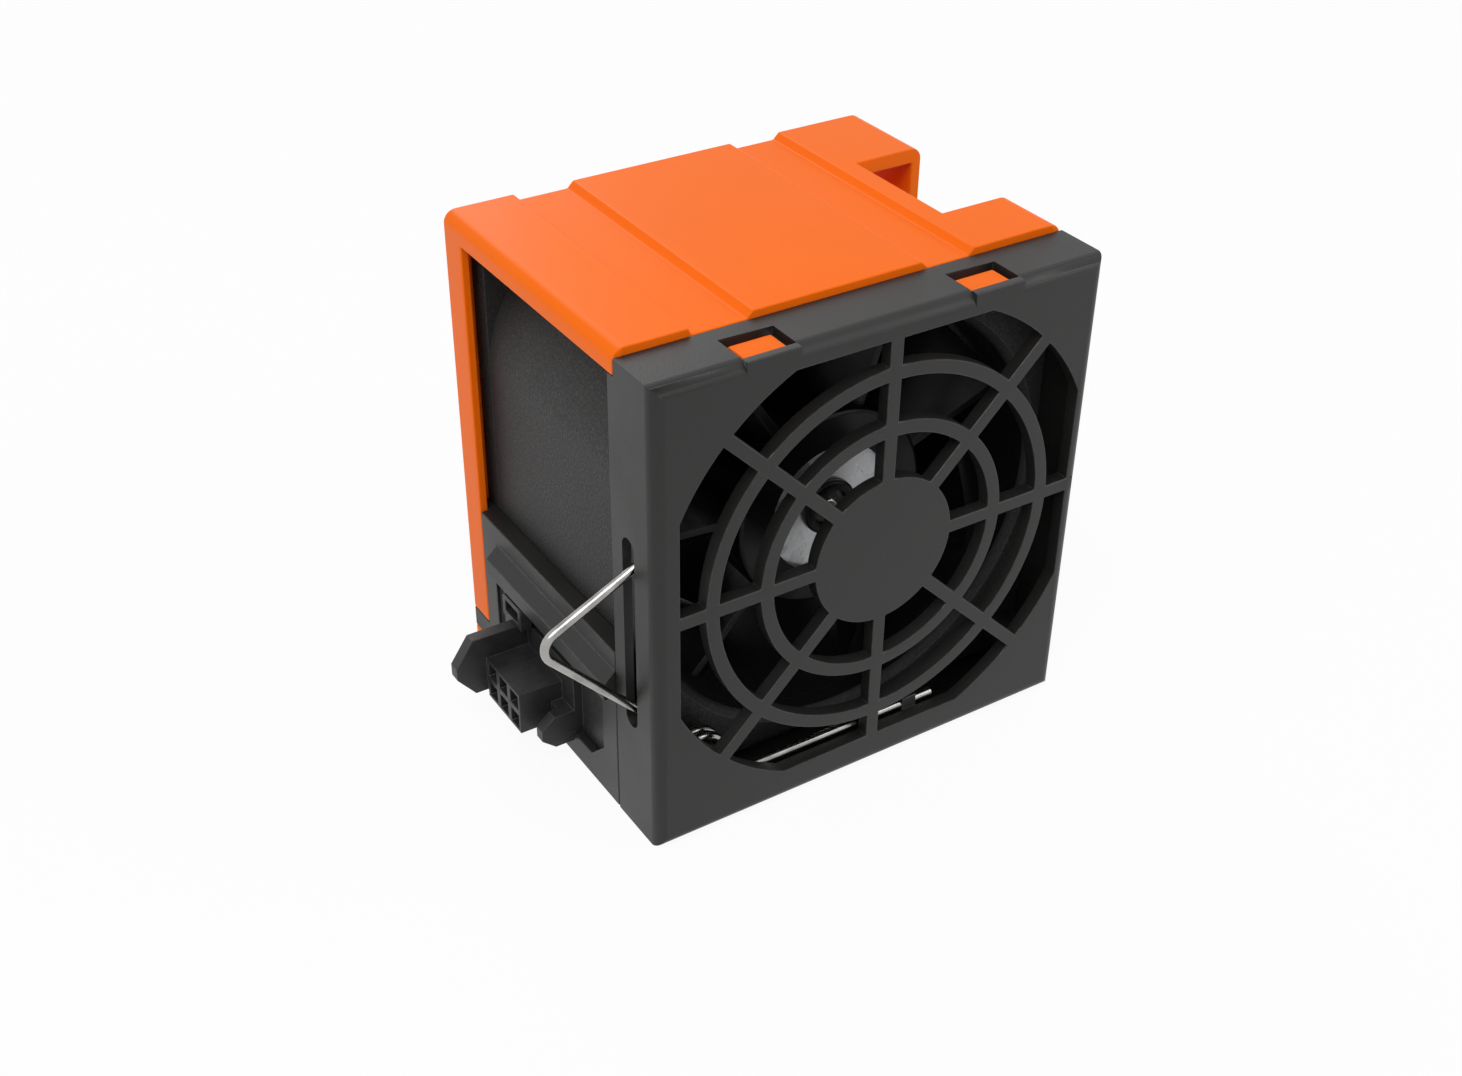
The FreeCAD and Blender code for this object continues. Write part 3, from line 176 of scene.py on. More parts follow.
class StudioSizes(bpy.types.PropertyGroup):
    view_turn: view_angle("View turn", "Camera's turn about the upright axis", -32.82)
    view_rise: view_angle("View rise", "Camera's height angle", 34.07)
    view_roll: view_angle("View roll", "Camera's roll", 0.71)
    view_reach: length("View distance", "Distance from the camera to its aim", 0.3246)
    focal: FloatProperty(name="Focal length", description="Focal length in millimetres",
                         default=45.8, min=10.0)
    floor: length("Floor", "Side of the square floor", 6.0)
    ambient: FloatProperty(name="Ambient", description="Strength of the even light",
                           default=0.40, min=0.0)


class FanModuleSettings(bpy.types.PropertyGroup):
    edges: PointerProperty(type=EdgeSizes)
    colours: PointerProperty(type=FinishColours)
    catch: PointerProperty(type=CatchSizes)
    studio: PointerProperty(type=StudioSizes)


def settings():
    return bpy.context.scene.fan_module


def tone_of(name):
    """A colour from the sidebar, as plain numbers."""
    return tuple(getattr(settings().colours, name))


# ------------------------------------------------- node trees written as expressions
def operation(name):
    """The forward and reflected methods of one Math operation."""
    def forward(left, right):
        return left.graph.node("ShaderNodeMath", {"operation": name}, {0: left, 1: right})

    def reflected(right, left):
        return right.graph.node("ShaderNodeMath", {"operation": name}, {0: left, 1: right})
    return forward, reflected


class Signal:
    """An output socket that takes part in Python arithmetic."""

    def __init__(self, graph, socket):
        self.graph = graph
        self.socket = socket

    __add__, __radd__ = operation("ADD")
    __sub__, __rsub__ = operation("SUBTRACT")
    __mul__, __rmul__ = operation("MULTIPLY")
    __truediv__, __rtruediv__ = operation("DIVIDE")
    __pow__, __rpow__ = operation("POWER")


class Graph:
    """A node tree, and the one way in which its nodes are made."""

    def __init__(self, tree):
        self.tree = tree

    def put(self, socket, value):
        """Set a socket to a value, or link it to a signal."""
        if isinstance(value, Signal):
            self.tree.links.new(value.socket, socket)
        elif socket.type == "RGBA":
            socket.default_value = (*value, 1.0)
        else:
            socket.default_value = value

    def node(self, kind, choices, values, output=0):
        """Add a node: its choices are made first, then its sockets are set or linked."""
        made = self.tree.nodes.new(kind)
        for name, choice in choices.items():
            setattr(made, name, choice)
        for name, value in values.items():
            self.put(made.inputs[name], value)
        return Signal(self, made.outputs[output]) if made.outputs else made


class Finish(Graph):
    """A procedural material read from the part's own coordinates."""

    def __init__(self, name):
        self.material = bpy.data.materials.new(name)
        self.material.use_nodes = True
        super().__init__(self.material.node_tree)
        self.shader = self.tree.nodes["Principled BSDF"]
        self.place = self.node("ShaderNodeTexCoord", {}, {}, "Object")

    def stretched(self, scale, turn=(0.0, 0.0, 0.0)):
        """The part's coordinates, drawn out along one axis and turned."""
        return self.node("ShaderNodeMapping", {},
                         {"Vector": self.place, "Scale": scale, "Rotation": turn})

    def noise(self, feature, detail=2.0, where=None):
        """Smooth noise whose blotches are about one feature long, in metres."""
        return self.node("ShaderNodeTexNoise", {},
                         {"Vector": where or self.place, "Scale": 1 / feature, "Detail": detail})

    def cells(self, feature, output):
        """Irregular cells about one feature wide, in metres."""
        return self.node("ShaderNodeTexVoronoi", {},
                         {"Vector": self.place, "Scale": 1 / feature}, output)

    def bands(self, pitch, axis):
        """Sine bands across an axis, one pitch apart in metres."""
        return self.node("ShaderNodeTexWave", {"wave_type": "BANDS", "bands_direction": axis},
                         {"Vector": self.place, "Scale": math.pi / 10 / pitch}, "Fac")

    def ranged(self, signal, start, end, low, high):
        """A signal's span from start to end, drawn out from low to high and held there."""
        return self.node("ShaderNodeMapRange", {},
                         {"Value": signal, "From Min": start, "From Max": end,
                          "To Min": low, "To Max": high})

    def mixed(self, factor, first, second):
        """A colour between two others."""
        return self.node("ShaderNodeMix", {"data_type": "RGBA"},
                         {MIX_FACTOR: factor, MIX_FIRST: first, MIX_SECOND: second}, MIX_RESULT)

    def highlit_worn_edges(self, feature=0.0011):
        """How worn the rounded edges are and how much painted highlight they carry, broken up
        along their length.
        """
        edge = self.node("ShaderNodeAttribute", {"attribute_name": ROUNDED_EDGE}, {}, "Fac")
        return edge * self.ranged(self.noise(feature, 3.0), 0.38, 0.72, 0.25, 1.0)

    def scratches(self, feature, turn):
        """Sparse hairlines in one direction."""
        hair = self.noise(feature, 1.0, self.stretched((1.0, 0.035, 1.0), turn))
        return self.ranged(hair, 0.66, 0.72, 0.0, 1.0)

    def spin_radius(self):
        """Distance from the impeller's axis."""
        across, up = (self.node("ShaderNodeSeparateXYZ", {}, {"Vector": self.place}, axis) - middle
                      for axis, middle in (("X", SPIN_AXIS[0]), ("Z", SPIN_AXIS[2])))
        return (across * across + up * up) ** 0.5

    def bump(self, height, depth):
        return self.node("ShaderNodeBump", {},
                         {"Height": height, "Distance": depth, "Strength": 1.0})

    def surface(self, colour, roughness, normal=None, metallic=0.0, **constants):
        """Feed the shader; constants go straight on its own sockets."""
        self.put(self.shader.inputs["Base Color"], colour)
        self.put(self.shader.inputs["Roughness"], roughness)
        self.put(self.shader.inputs["Metallic"], metallic)
        if normal:
            self.put(self.shader.inputs["Normal"], normal)
        for name, value in constants.items():
            self.shader.inputs[name.replace("_", " ")].default_value = value
        return self.material


def paler(tone, gain, lift=0.0):
    """A tone times a gain, plus a lift towards white."""
    return tuple(min(1.0, part * gain + lift) for part in tone)


# ------------------------------------------------- plastics
def satin_black_plastic():
    """Fine spark-eroded grain, hairline scuffs, and paler edges that are partly worn and partly a
    painted highlight.
    """
    tone = tone_of("shell")
    finish = Finish("satin_black_plastic")
    grain = finish.noise(0.00030, 3.0)
    patches = finish.noise(0.018, 3.0)
    handled = finish.ranged(patches, 0.5, 0.75, 0.0, 1.0)
    scuffs = finish.scratches(0.0016, (0.3, 0.5, 0.9)) * handled
    worn_and_highlit = finish.highlit_worn_edges()
    body = finish.mixed(patches, paler(tone, 0.8), paler(tone, 1.25))
    # The paler rounded edges are partly worn and partly a painted highlight.
    shade = finish.mixed(worn_and_highlit * 0.55 + scuffs * 0.25, body, paler(tone, 3.2, 0.012))
    rough = finish.ranged(patches, 0.3, 0.7, 0.40, 0.50) - worn_and_highlit * 0.10 + scuffs * 0.08
    return finish.surface(shade, rough, finish.bump(grain - scuffs * 0.5, 0.000035),
                          Specular_IOR_Level=0.38)


def bright_cover_plastic():
    """Glossy coloured plastic with a soft orange-peel, faint flow marks, and paler edges that are
    partly worn and partly a painted highlight.
    """
    tone = tone_of("cover")
    finish = Finish("bright_cover_plastic")
    peel = finish.noise(0.0011, 2.0)
    grain = finish.noise(0.00026, 2.0)
    flow = finish.noise(0.022, 2.0, finish.stretched((1.0, 0.4, 1.0)))
    handled = finish.ranged(flow, 0.48, 0.7, 0.0, 1.0)
    scuffs = finish.scratches(0.0013, (0.0, 0.1, 0.5)) * handled
    worn_and_highlit = finish.highlit_worn_edges(0.0022)
    body = finish.mixed(flow, paler(tone, 0.955), paler(tone, 1.03, 0.002))
    # The paler rounded edges are partly worn and partly a painted highlight.
    shade = finish.mixed(worn_and_highlit * 0.20 + scuffs * 0.14, body, paler(tone, 1.0, 0.050))
    rough = finish.ranged(flow, 0.3, 0.7, 0.30, 0.38) + scuffs * 0.12
    height = peel * 0.7 + grain * 0.3 - scuffs * 0.4
    return finish.surface(shade, rough, finish.bump(height, 0.00002), Specular_IOR_Level=0.07)


def grained_fan_plastic():
    """Glass-filled plastic with a coarse, sparkling eroded grain, paler edges that are partly worn
    and partly a painted highlight, and painted shade inside the bore.
    """
    tone = tone_of("fan")
    finish = Finish("grained_fan_plastic")
    grain = finish.noise(0.00042, 4.0)
    pits = finish.cells(0.00075, "Distance")
    patches = finish.noise(0.013, 3.0)
    worn_and_highlit = finish.highlit_worn_edges()
    speck = finish.ranged(grain, 0.52, 0.70, 0.0, 1.0)
    eroded = finish.ranged(finish.spin_radius(), BORE_RADIUS, BORE_RADIUS + BORE_FADE, 0.0, 1.0)
    body = finish.mixed(patches, paler(tone, 0.75), paler(tone, 1.2))
    # The paler rounded edges are partly worn and partly a painted highlight.
    outside = finish.mixed(speck * 0.5 + worn_and_highlit * 0.45, body, paler(tone, 2.6, 0.010))
    # Inside the bore the colour drops to about a fifth of the tone: painted shade in the duct,
    # where the finish is also smoother.
    shade = finish.mixed(eroded, paler(tone, 0.22), outside)
    rough = finish.ranged(grain, 0.3, 0.7, 0.66, 0.46)
    height = (grain + pits * 0.35) * (eroded * 0.85 + 0.15)
    return finish.surface(shade, rough, finish.bump(height, 0.00008), Specular_IOR_Level=0.32)


def glossy_blade_plastic():
    """Smooth dark blades with faint dust, and paler edges that are partly worn and partly a
    painted highlight.
    """
    tone = tone_of("blade")
    finish = Finish("glossy_blade_plastic")
    ripple = finish.noise(0.0024, 2.0)
    dust = finish.ranged(finish.noise(0.0035, 4.0), 0.50, 0.80, 0.0, 1.0)
    worn_and_highlit = finish.highlit_worn_edges()
    # The paler rounded edges are partly worn and partly a painted highlight.
    shade = finish.mixed(dust * 0.10 + worn_and_highlit * 0.25, tone, paler(tone, 2.6, 0.010))
    rough = 0.30 + dust * 0.10 + worn_and_highlit * 0.06
    return finish.surface(shade, rough, finish.bump(ripple, 0.00004), Specular_IOR_Level=0.2)


def connector_nylon():
    """Matt black nylon with short flow streaks, and paler edges that are partly worn and partly a
    painted highlight.
    """
    tone = tone_of("plug")
    finish = Finish("connector_nylon")
    streaks = finish.noise(0.0009, 3.0, finish.stretched((0.35, 1.0, 1.0)))
    grain = finish.noise(0.00022, 2.0)
    worn_and_highlit = finish.highlit_worn_edges(0.0008)
    # The paler rounded edges are partly worn and partly a painted highlight.
    shade = finish.mixed(streaks * 0.30 + worn_and_highlit * 0.5, tone, paler(tone, 3.0, 0.012))
    rough = finish.ranged(streaks, 0.3, 0.7, 0.42, 0.54)
    return finish.surface(shade, rough, finish.bump(grain + streaks * 0.5, 0.00003),
                          Specular_IOR_Level=0.45)


def soft_rubber(name="soft_rubber", gain=1.0):
    """Matt rubber with a bloom of dust."""
    tone = paler(tone_of("rubber"), gain)
    finish = Finish(name)
    bloom = finish.noise(0.0016, 4.0)
    grain = finish.noise(0.00025, 2.0)
    shade = finish.mixed(bloom, tone, paler(tone, 2.4, 0.004))
    rough = finish.ranged(bloom, 0.3, 0.7, 0.68, 0.86)
    return finish.surface(shade, rough, finish.bump(grain, 0.00005), Specular_IOR_Level=0.3)


def moulded_epoxy():
    """Matt epoxy of the driver chip and sensor."""
    finish = Finish("moulded_epoxy")
    grain = finish.noise(0.00012, 2.0)
    shade = finish.mixed(grain, (0.010, 0.010, 0.011), (0.024, 0.024, 0.026))
    rough = finish.ranged(grain, 0.3, 0.7, 0.48, 0.62)
    return finish.surface(shade, rough, finish.bump(grain, 0.00002))


# ------------------------------------------------- metals and motor materials
def spangled_zinc():
    """Hot-dip zinc: crystal flowers of differing tone, with a few dull scuffs."""
    tone = tone_of("zinc")
    finish = Finish("spangled_zinc")
    warp = finish.noise(0.0012, 2.0)
    crystal = finish.cells(0.0021, "Color")
    facet = finish.node("ShaderNodeSeparateColor", {}, {"Color": crystal}, 0)
    feather = finish.noise(0.00035, 3.0, finish.stretched((1.0, 1.0, 0.25), (0.0, 0.6, 0.0)))
    level = facet * 0.65 + feather * 0.35
    shade = finish.mixed(level, paler(tone, 0.62), paler(tone, 1.18))
    rough = finish.ranged(level, 0.1, 0.9, 0.26, 0.46) + finish.highlit_worn_edges() * 0.05
    height = facet * 0.6 + warp * 0.4
    return finish.surface(shade, rough, finish.bump(height, 0.00003), metallic=1.0)


def drawn_wire_steel():
    """Bright spring wire with drawing marks and a slightly oily tone."""
    tone = tone_of("steel")
    finish = Finish("drawn_wire_steel")
    marks = finish.noise(0.00022, 3.0)
    tarnish = finish.noise(0.0045, 3.0)
    dull = finish.ranged(tarnish, 0.42, 0.72, 0.0, 1.0)
    shade = finish.mixed(dull, paler(tone, 0.62), paler(tone, 0.36))
    rough = finish.ranged(marks, 0.3, 0.7, 0.15, 0.27)
    return finish.surface(shade, rough, finish.bump(marks, 0.000012), metallic=1.0)


def ground_steel():
    """Bearing rings and shaft, with fine rings from grinding."""
    tone = tone_of("steel")
    finish = Finish("ground_steel")
    rings = finish.bands(0.00016, "Y")
    haze = finish.noise(0.0012, 2.0)
    shade = finish.mixed(haze, paler(tone, 0.85), paler(tone, 1.2))
    rough = finish.ranged(rings * 0.5 + haze * 0.5, 0.2, 0.8, 0.12, 0.26)
    return finish.surface(shade, rough, finish.bump(rings, 0.000006), metallic=1.0)


def turned_brass():
    """Lathe-turned brass with a dull patina in the tool marks."""
    tone = tone_of("brass")
    finish = Finish("turned_brass")
    marks = finish.bands(0.00014, "Y")
    patina = finish.noise(0.0015, 3.0)
    shade = finish.mixed(patina, paler(tone, 0.72), paler(tone, 1.1))
    rough = finish.ranged(marks * 0.4 + patina * 0.6, 0.2, 0.8, 0.20, 0.36)
    return finish.surface(shade, rough, finish.bump(marks, 0.00001), metallic=1.0)


def blackened_brass():
    """Chemically blackened bushing that shows brass only on its worn rim."""
    tone = tone_of("brass")
    finish = Finish("blackened_brass")
    marks = finish.bands(0.00018, "Y")
    bloom = finish.noise(0.0012, 3.0)
    bare = finish.highlit_worn_edges() * 0.35 + bloom * 0.05
    shade = finish.mixed(bare, (0.020, 0.019, 0.018), paler(tone, 0.5))
    rough = finish.ranged(bloom, 0.3, 0.7, 0.24, 0.36)
    return finish.surface(shade, rough, finish.bump(marks, 0.000008), metallic=0.6)


def sintered_ferrite():
    """Grey bonded magnet ring with a sandy pressed surface."""
    finish = Finish("sintered_ferrite")
    sand = finish.noise(0.00025, 4.0)
    blotch = finish.noise(0.004, 2.0)
    shade = finish.mixed(sand * 0.6 + blotch * 0.4,
                         (0.030, 0.029, 0.030), (0.082, 0.079, 0.080))
    rough = finish.ranged(sand, 0.3, 0.7, 0.60, 0.78)
    return finish.surface(shade, rough, finish.bump(sand, 0.00004))


def stamped_laminations():
    """Stack of half-millimetre steel sheets, dark at each gap."""
    finish = Finish("stamped_laminations")
    sheets = finish.bands(0.0005, "Y")
    gaps = finish.ranged(sheets, 0.0, 0.22, 0.0, 1.0)
    stain = finish.noise(0.003, 3.0)
    shade = finish.mixed(gaps * finish.ranged(stain, 0.2, 0.8, 0.6, 1.0),
                         (0.040, 0.038, 0.036), (0.330, 0.325, 0.315))
    rough = finish.ranged(stain, 0.3, 0.7, 0.38, 0.55)
    return finish.surface(shade, rough, finish.bump(gaps, 0.00005), metallic=1.0)


def enamelled_copper():
    """Winding wire under clear enamel that has darkened in places."""
    tone = tone_of("copper")
    finish = Finish("enamelled_copper")
    heat = finish.noise(0.0022, 3.0)
    darkened = finish.ranged(heat, 0.35, 0.7, 0.0, 1.0)
    shade = finish.mixed(darkened, paler(tone, 1.1), paler(tone, 0.55))
    rough = finish.ranged(heat, 0.3, 0.7, 0.22, 0.34)
    return finish.surface(shade, rough, metallic=1.0, Coat_Weight=0.6, Coat_Roughness=0.12)


def solder_mask_board():
    """Glass-epoxy board: traces under green mask, with a glossy coat."""
    tone = tone_of("board")
    finish = Finish("solder_mask_board")
    net = finish.node("ShaderNodeTexVoronoi", {"feature": "DISTANCE_TO_EDGE"},
                      {"Vector": finish.place, "Scale": 420.0})
    trace = finish.ranged(net, 0.09, 0.13, 1.0, 0.0)
    weave = finish.bands(0.0009, "X") * finish.bands(0.0009, "Z")
    shade = finish.mixed(trace * 0.7 + weave * 0.15, tone, paler(tone, 1.9, 0.01))
    rough = finish.ranged(weave, 0.0, 1.0, 0.24, 0.33)
    return finish.surface(shade, rough, finish.bump(trace, 0.00002),
                          Coat_Weight=0.3, Coat_Roughness=0.15)


def tin_plate():
    """Dull matt tin on the terminals."""
    finish = Finish("tin_plate")
    haze = finish.noise(0.0008, 3.0)
    shade = finish.mixed(haze, (0.50, 0.50, 0.49), (0.74, 0.73, 0.71))
    rough = finish.ranged(haze, 0.3, 0.7, 0.26, 0.40)
    return finish.surface(shade, rough, finish.bump(haze, 0.00001), metallic=1.0)


# ------------------------------------------------- meshes
def roundable_edges(work, shortest):
    """Hard edges, apart from those that meet an edge too short for the rounding."""
    hard = [edge for edge in work.edges
            if len(edge.link_faces) == 2 and edge.calc_face_angle() > CREASE_ANGLE]
    tight = {corner for edge in hard if edge.calc_length() < shortest for corner in edge.verts}
    return [edge for edge in hard if not tight.intersection(edge.verts)]


def refined_mesh(node, edge_width, shortest):
    """A part's mesh with its doubles merged, flat faces joined and hard edges rounded."""
    mesh = NODES[node].data.copy()
    work = bmesh.new()
    work.from_mesh(mesh)
    bmesh.ops.remove_doubles(work, verts=work.verts, dist=MERGE_DISTANCE)
    bmesh.ops.dissolve_limit(work, angle_limit=FLAT_ANGLE, verts=work.verts, edges=work.edges)
    bmesh.ops.connect_verts_concave(work, faces=work.faces)
    work.normal_update()
    hard = roundable_edges(work, shortest)
    edge_layer = work.faces.layers.float.new(ROUNDED_EDGE)
    rounded = bmesh.ops.bevel(work, geom=hard, offset=edge_width, offset_type="OFFSET",
                              segments=2, profile=0.5, affect="EDGES", clamp_overlap=False,
                              loop_slide=False)
    for face in rounded["faces"]:
        face[edge_layer] = 1.0
    for face in work.faces:
        face.smooth = True
    work.to_mesh(mesh)
    work.free()
    mesh.set_sharp_from_angle(angle=CREASE_ANGLE)
    return mesh


def even_normals(piece):
    """Weight the shading by face area, so that flat faces stay flat beside round edges."""
    modifier = piece.modifiers.new("even_normals", "WEIGHTED_NORMAL")
    modifier.keep_sharp = True
    bake_modifiers(piece)


def bake_modifiers(piece):
    """Turn an object and its modifiers into a plain mesh."""
    evaluated = piece.evaluated_get(bpy.context.evaluated_depsgraph_get())
    mesh = bpy.data.meshes.new_from_object(evaluated)
    piece.modifiers.clear()
    piece.data = mesh


def new_piece(name, data):
    """A new object in the scene, at the origin."""
    piece = bpy.data.objects.new(name, data)
    bpy.context.scene.collection.objects.link(piece)
    return piece


def coat(piece, material):
    """Give a piece one material."""
    piece.data.materials.clear()
    piece.data.materials.append(material)


def seat(piece, node):
    """Tie a finished piece to the part that it stands for and to its body."""
    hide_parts(node)
    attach(piece, BODY_OF[node])


def refine(node, name, edge_width, material, shortest=0.0):
    """Replace a part by its own mesh with rounded edges and a finish."""
    piece = new_piece(name, refined_mesh(node, edge_width, shortest))
    coat(piece, material)
    even_normals(piece)
    seat(piece, node)


def coat_part(node, material):
    """Keep a part's own mesh and give it a finish."""
    for place in NODES[node].material_slots:
        place.material = material


# ------------------------------------------------- geometry node trees
def new_tree(name, inputs):
    """A geometry tree with named inputs; returns its graph and a way to read each input."""
    tree = bpy.data.node_groups.new(name, "GeometryNodeTree")
    for label, kind in inputs:
        tree.interface.new_socket(label, in_out="INPUT", socket_type="NodeSocket" + kind)
    tree.interface.new_socket("Result", in_out="OUTPUT", socket_type="NodeSocketGeometry")
    graph = Graph(tree)
    entry = graph.node("NodeGroupInput", {}, {}).socket.node
    return graph, lambda label: Signal(graph, entry.outputs[label])


def end_tree(graph, geometry, material):
    """Close a tree with real geometry, smooth shading and its finish."""
    real = graph.node("GeometryNodeRealizeInstances", {}, {0: geometry})
    smooth = graph.node("GeometryNodeSetShadeSmooth", {}, {"Geometry": real})
    done = graph.node("GeometryNodeSetMaterial", {}, {"Geometry": smooth, "Material": material})
    graph.node("NodeGroupOutput", {}, {"Result": done})
    return graph.tree


def wire_tree():
    """Sweep a round section along the object's own curve."""
    graph, given = new_tree("round_wire", [("Path", "Geometry"), ("Wire Diameter", "Float"),
                                           ("Sides", "Int"), ("Finish", "Material")])
    section = graph.node("GeometryNodeCurvePrimitiveCircle", {},
                         {"Resolution": given("Sides"), "Radius": given("Wire Diameter") / 2})
    wire = graph.node("GeometryNodeCurveToMesh", {},
                      {"Curve": given("Path"), "Profile Curve": section, "Fill Caps": True})
    return end_tree(graph, wire, given("Finish"))


def grow(piece, tree, values):
    """Run a tree on a piece with its inputs set, and keep the result as a plain mesh."""
    modifier = piece.modifiers.new("shape", "NODES")
    modifier.node_group = tree
    identifiers = {item.name: item.identifier for item in tree.interface.items_tree
                   if item.in_out == "INPUT"}
    for label, value in values.items():
        modifier[identifiers[label]] = value
    evaluated = piece.evaluated_get(bpy.context.evaluated_depsgraph_get())
    mesh = bpy.data.meshes.new_from_object(evaluated)
    mesh.set_sharp_from_angle(angle=WIRE_CREASE_ANGLE)
    name = piece.name
    bpy.data.objects.remove(piece)
    return new_piece(name, mesh)


# ------------------------------------------------- catch wire
def arc_points(before, corner, after, bend):
    """Points of the arc that rounds a corner."""
    back = (before - corner).normalized()
    ahead = (after - corner).normalized()
    half = back.angle(ahead) / 2
    centre = corner + (back + ahead).normalized() * (bend / math.sin(half))
    first = corner + back * (bend / math.tan(half)) - centre
    last = corner + ahead * (bend / math.tan(half)) - centre
    return [centre + first.slerp(last, index / ARC_STEPS).normalized() * bend
            for index in range(ARC_STEPS + 1)]


def bent_path(points, bends):
    """Straight runs with each inner corner rounded by its own bend."""
    route = [points[0]]
    for before, corner, after, bend in zip(points, points[1:], points[2:], bends):
        route += arc_points(before, corner, after, bend)
    return route + [points[-1]]


def coil_middle():
    """The coil's own middle, in the plane where its arm leaves it."""
    catch = settings().catch
    across, _, up = JOINTS["catch_pivot"]["pos_m"]
    climb = catch.lead * catch.pitch / math.hypot(2 * math.pi * catch.coil, catch.pitch)
    return Vector((across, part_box("catch_wire")[1][1] - catch.wire / 2 - climb, up))


def coil_points(start, end):
    """The coil's middle line between two counts of turns."""
    catch = settings().catch
    middle = coil_middle()
    steps = round(abs(end - start) * TURN_STEPS)
    points = []
    for index in range(steps + 1):
        turns = start + (end - start) * index / steps
        angle = math.pi + 2 * math.pi * turns
        points.append(middle + Vector((catch.coil * math.cos(angle), -catch.pitch * turns,
                                       catch.coil * math.sin(angle))))
    return points


def coil_lead(turns, direction):
    """The straight run that leaves the coil at a count of turns."""
    catch = settings().catch
    angle = math.pi + 2 * math.pi * turns
    sweep = 2 * math.pi * catch.coil
    heading = Vector((-sweep * math.sin(angle), -catch.pitch, sweep * math.cos(angle)))
    return heading.normalized() * direction * catch.lead


def arm_points():
    """First turn of the coil, then the arm through its knee and corner to the hook."""
    catch = settings().catch
    turn = coil_points(ARM_TURNS, 0.0)
    lead = turn[-1] + coil_lead(0.0, -1)
    knee, corner, hook = (Vector((place[0], lead.y, place[1]))
                          for place in (catch.knee, catch.corner, catch.hook))
    bends = (catch.bend, catch.bend * KNEE_BEND_RATIO, catch.bend, catch.wire)
    tip = hook - Vector((0.0, catch.tip, 0.0))
    return turn + bent_path([turn[-1], lead, knee, corner, hook, tip], bends)[1:]


def leg_points():
    """The rest of the coil, and the long leg that bears on the bezel."""
    catch = settings().catch
    turns = coil_points(FIXED_TURNS_FROM, catch.turns)
    lead = turns[-1] + coil_lead(catch.turns, 1)
    leg_end = Vector((catch.leg_end, lead.y, lead.z))
    return turns + bent_path([turns[-1], lead, leg_end], [catch.bend])[1:]


def wire_piece(name, points, material):
    """A swept wire through the points."""
    catch = settings().catch
    curve = bpy.data.curves.new(name + "_path", "CURVE")
    curve.dimensions = "3D"
    spline = curve.splines.new("POLY")
    spline.points.add(len(points) - 1)
    for target, point in zip(spline.points, points):
        target.co = (*point, 1.0)
    return grow(new_piece(name, curve), wire_tree(),
                {"Wire Diameter": catch.wire, "Sides": catch.sides, "Finish": material})


# ------------------------------------------------- operators
class FANMODULE_OT_front_bezel(bpy.types.Operator):
    """Front bezel with its finger guard, edges softened and finished in satin black"""
    bl_idname = "fan_module.front_bezel"
    bl_label = "Front bezel"

    def execute(self, context):
        black = satin_black_plastic()
        width = settings().edges.shell
        refine("front_bezel", "bezel_and_guard", width, black,
               shortest=width * 2)
        refine("lower_housing", "lower_shell", width, black)
        return {"FINISHED"}


class FANMODULE_OT_top_cover(bpy.types.Operator):
    """Clip-on touch-point cover in bright plastic"""
    bl_idname = "fan_module.top_cover"
    bl_label = "Top cover"

    def execute(self, context):
        refine("top_cover", "touch_point_cover", settings().edges.cover,
               bright_cover_plastic())
        return {"FINISHED"}


class FANMODULE_OT_fan_casing(bpy.types.Operator):
    """Grained casing of the fan with its vanes, and the rubber that carries it"""
    bl_idname = "fan_module.fan_casing"
    bl_label = "Fan casing"

    def execute(self, context):
        edges = settings().edges
        grained = grained_fan_plastic()
        for node, name in (("fan_housing", "fan_barrel"),
                           ("fan_inlet_flange", "inlet_flange"),
                           ("fan_outlet_flange", "outlet_flange"),
                           ("motor_carrier", "vanes_and_carrier")):
            refine(node, name, edges.fan, grained)
        refine("corner_mounts", "rubber_mounts", edges.rubber, soft_rubber())
        refine("fan_pads", "foam_pads", edges.rubber, soft_rubber("foam_pad", 1.6))
        return {"FINISHED"}


class FANMODULE_OT_impeller(bpy.types.Operator):
    """Seven swept blades on their hub, with the steel yoke, boss and shaft"""
    bl_idname = "fan_module.impeller"
    bl_label = "Impeller"

    def execute(self, context):
        edges = settings().edges
        blade = glossy_blade_plastic()
        refine("impeller", "swept_impeller", edges.blade, blade)
        refine("hub_boss", "hub_boss_ring", edges.blade, blade)
        refine("rotor_yoke", "spangled_yoke", edges.steel, spangled_zinc())
        refine("yoke_bushing", "blackened_bushing", edges.steel, blackened_brass())
        steel = ground_steel()
        refine("rotor_shaft", "ground_shaft", edges.steel, steel)
        for node in ("front_bearing_inner", "rear_bearing_inner", "preload_washer",
                     "retaining_clip"):
            coat_part(node, steel)
        coat_part("magnet_ring", sintered_ferrite())
        return {"FINISHED"}


class FANMODULE_OT_motor(bpy.types.Operator):
    """Stator, windings, bearings and driver board inside the hub"""
    bl_idname = "fan_module.motor"
    bl_label = "Motor"

    def execute(self, context):
        coat_part("stator_core", stamped_laminations())
        coat_part("stator_coils", enamelled_copper())
        coat_part("motor_board", solder_mask_board())
        coat_part("board_parts", moulded_epoxy())
        coat_part("bearing_sleeve", turned_brass())
        steel = ground_steel()
        for node in ("front_bearing_outer", "rear_bearing_outer"):
            coat_part(node, steel)
        return {"FINISHED"}


class FANMODULE_OT_connector(bpy.types.Operator):
    """Blind-mate connector with its guide horn, terminals and clip"""
    bl_idname = "fan_module.connector"
    bl_label = "Connector"

    def execute(self, context):
        edges = settings().edges
        nylon = connector_nylon()
        refine("connector_housing", "blind_mate_plug", edges.plug, nylon)
        refine("connector_clip", "plug_clip", edges.plug, nylon)
        coat_part("connector_terminals", tin_plate())
        return {"FINISHED"}


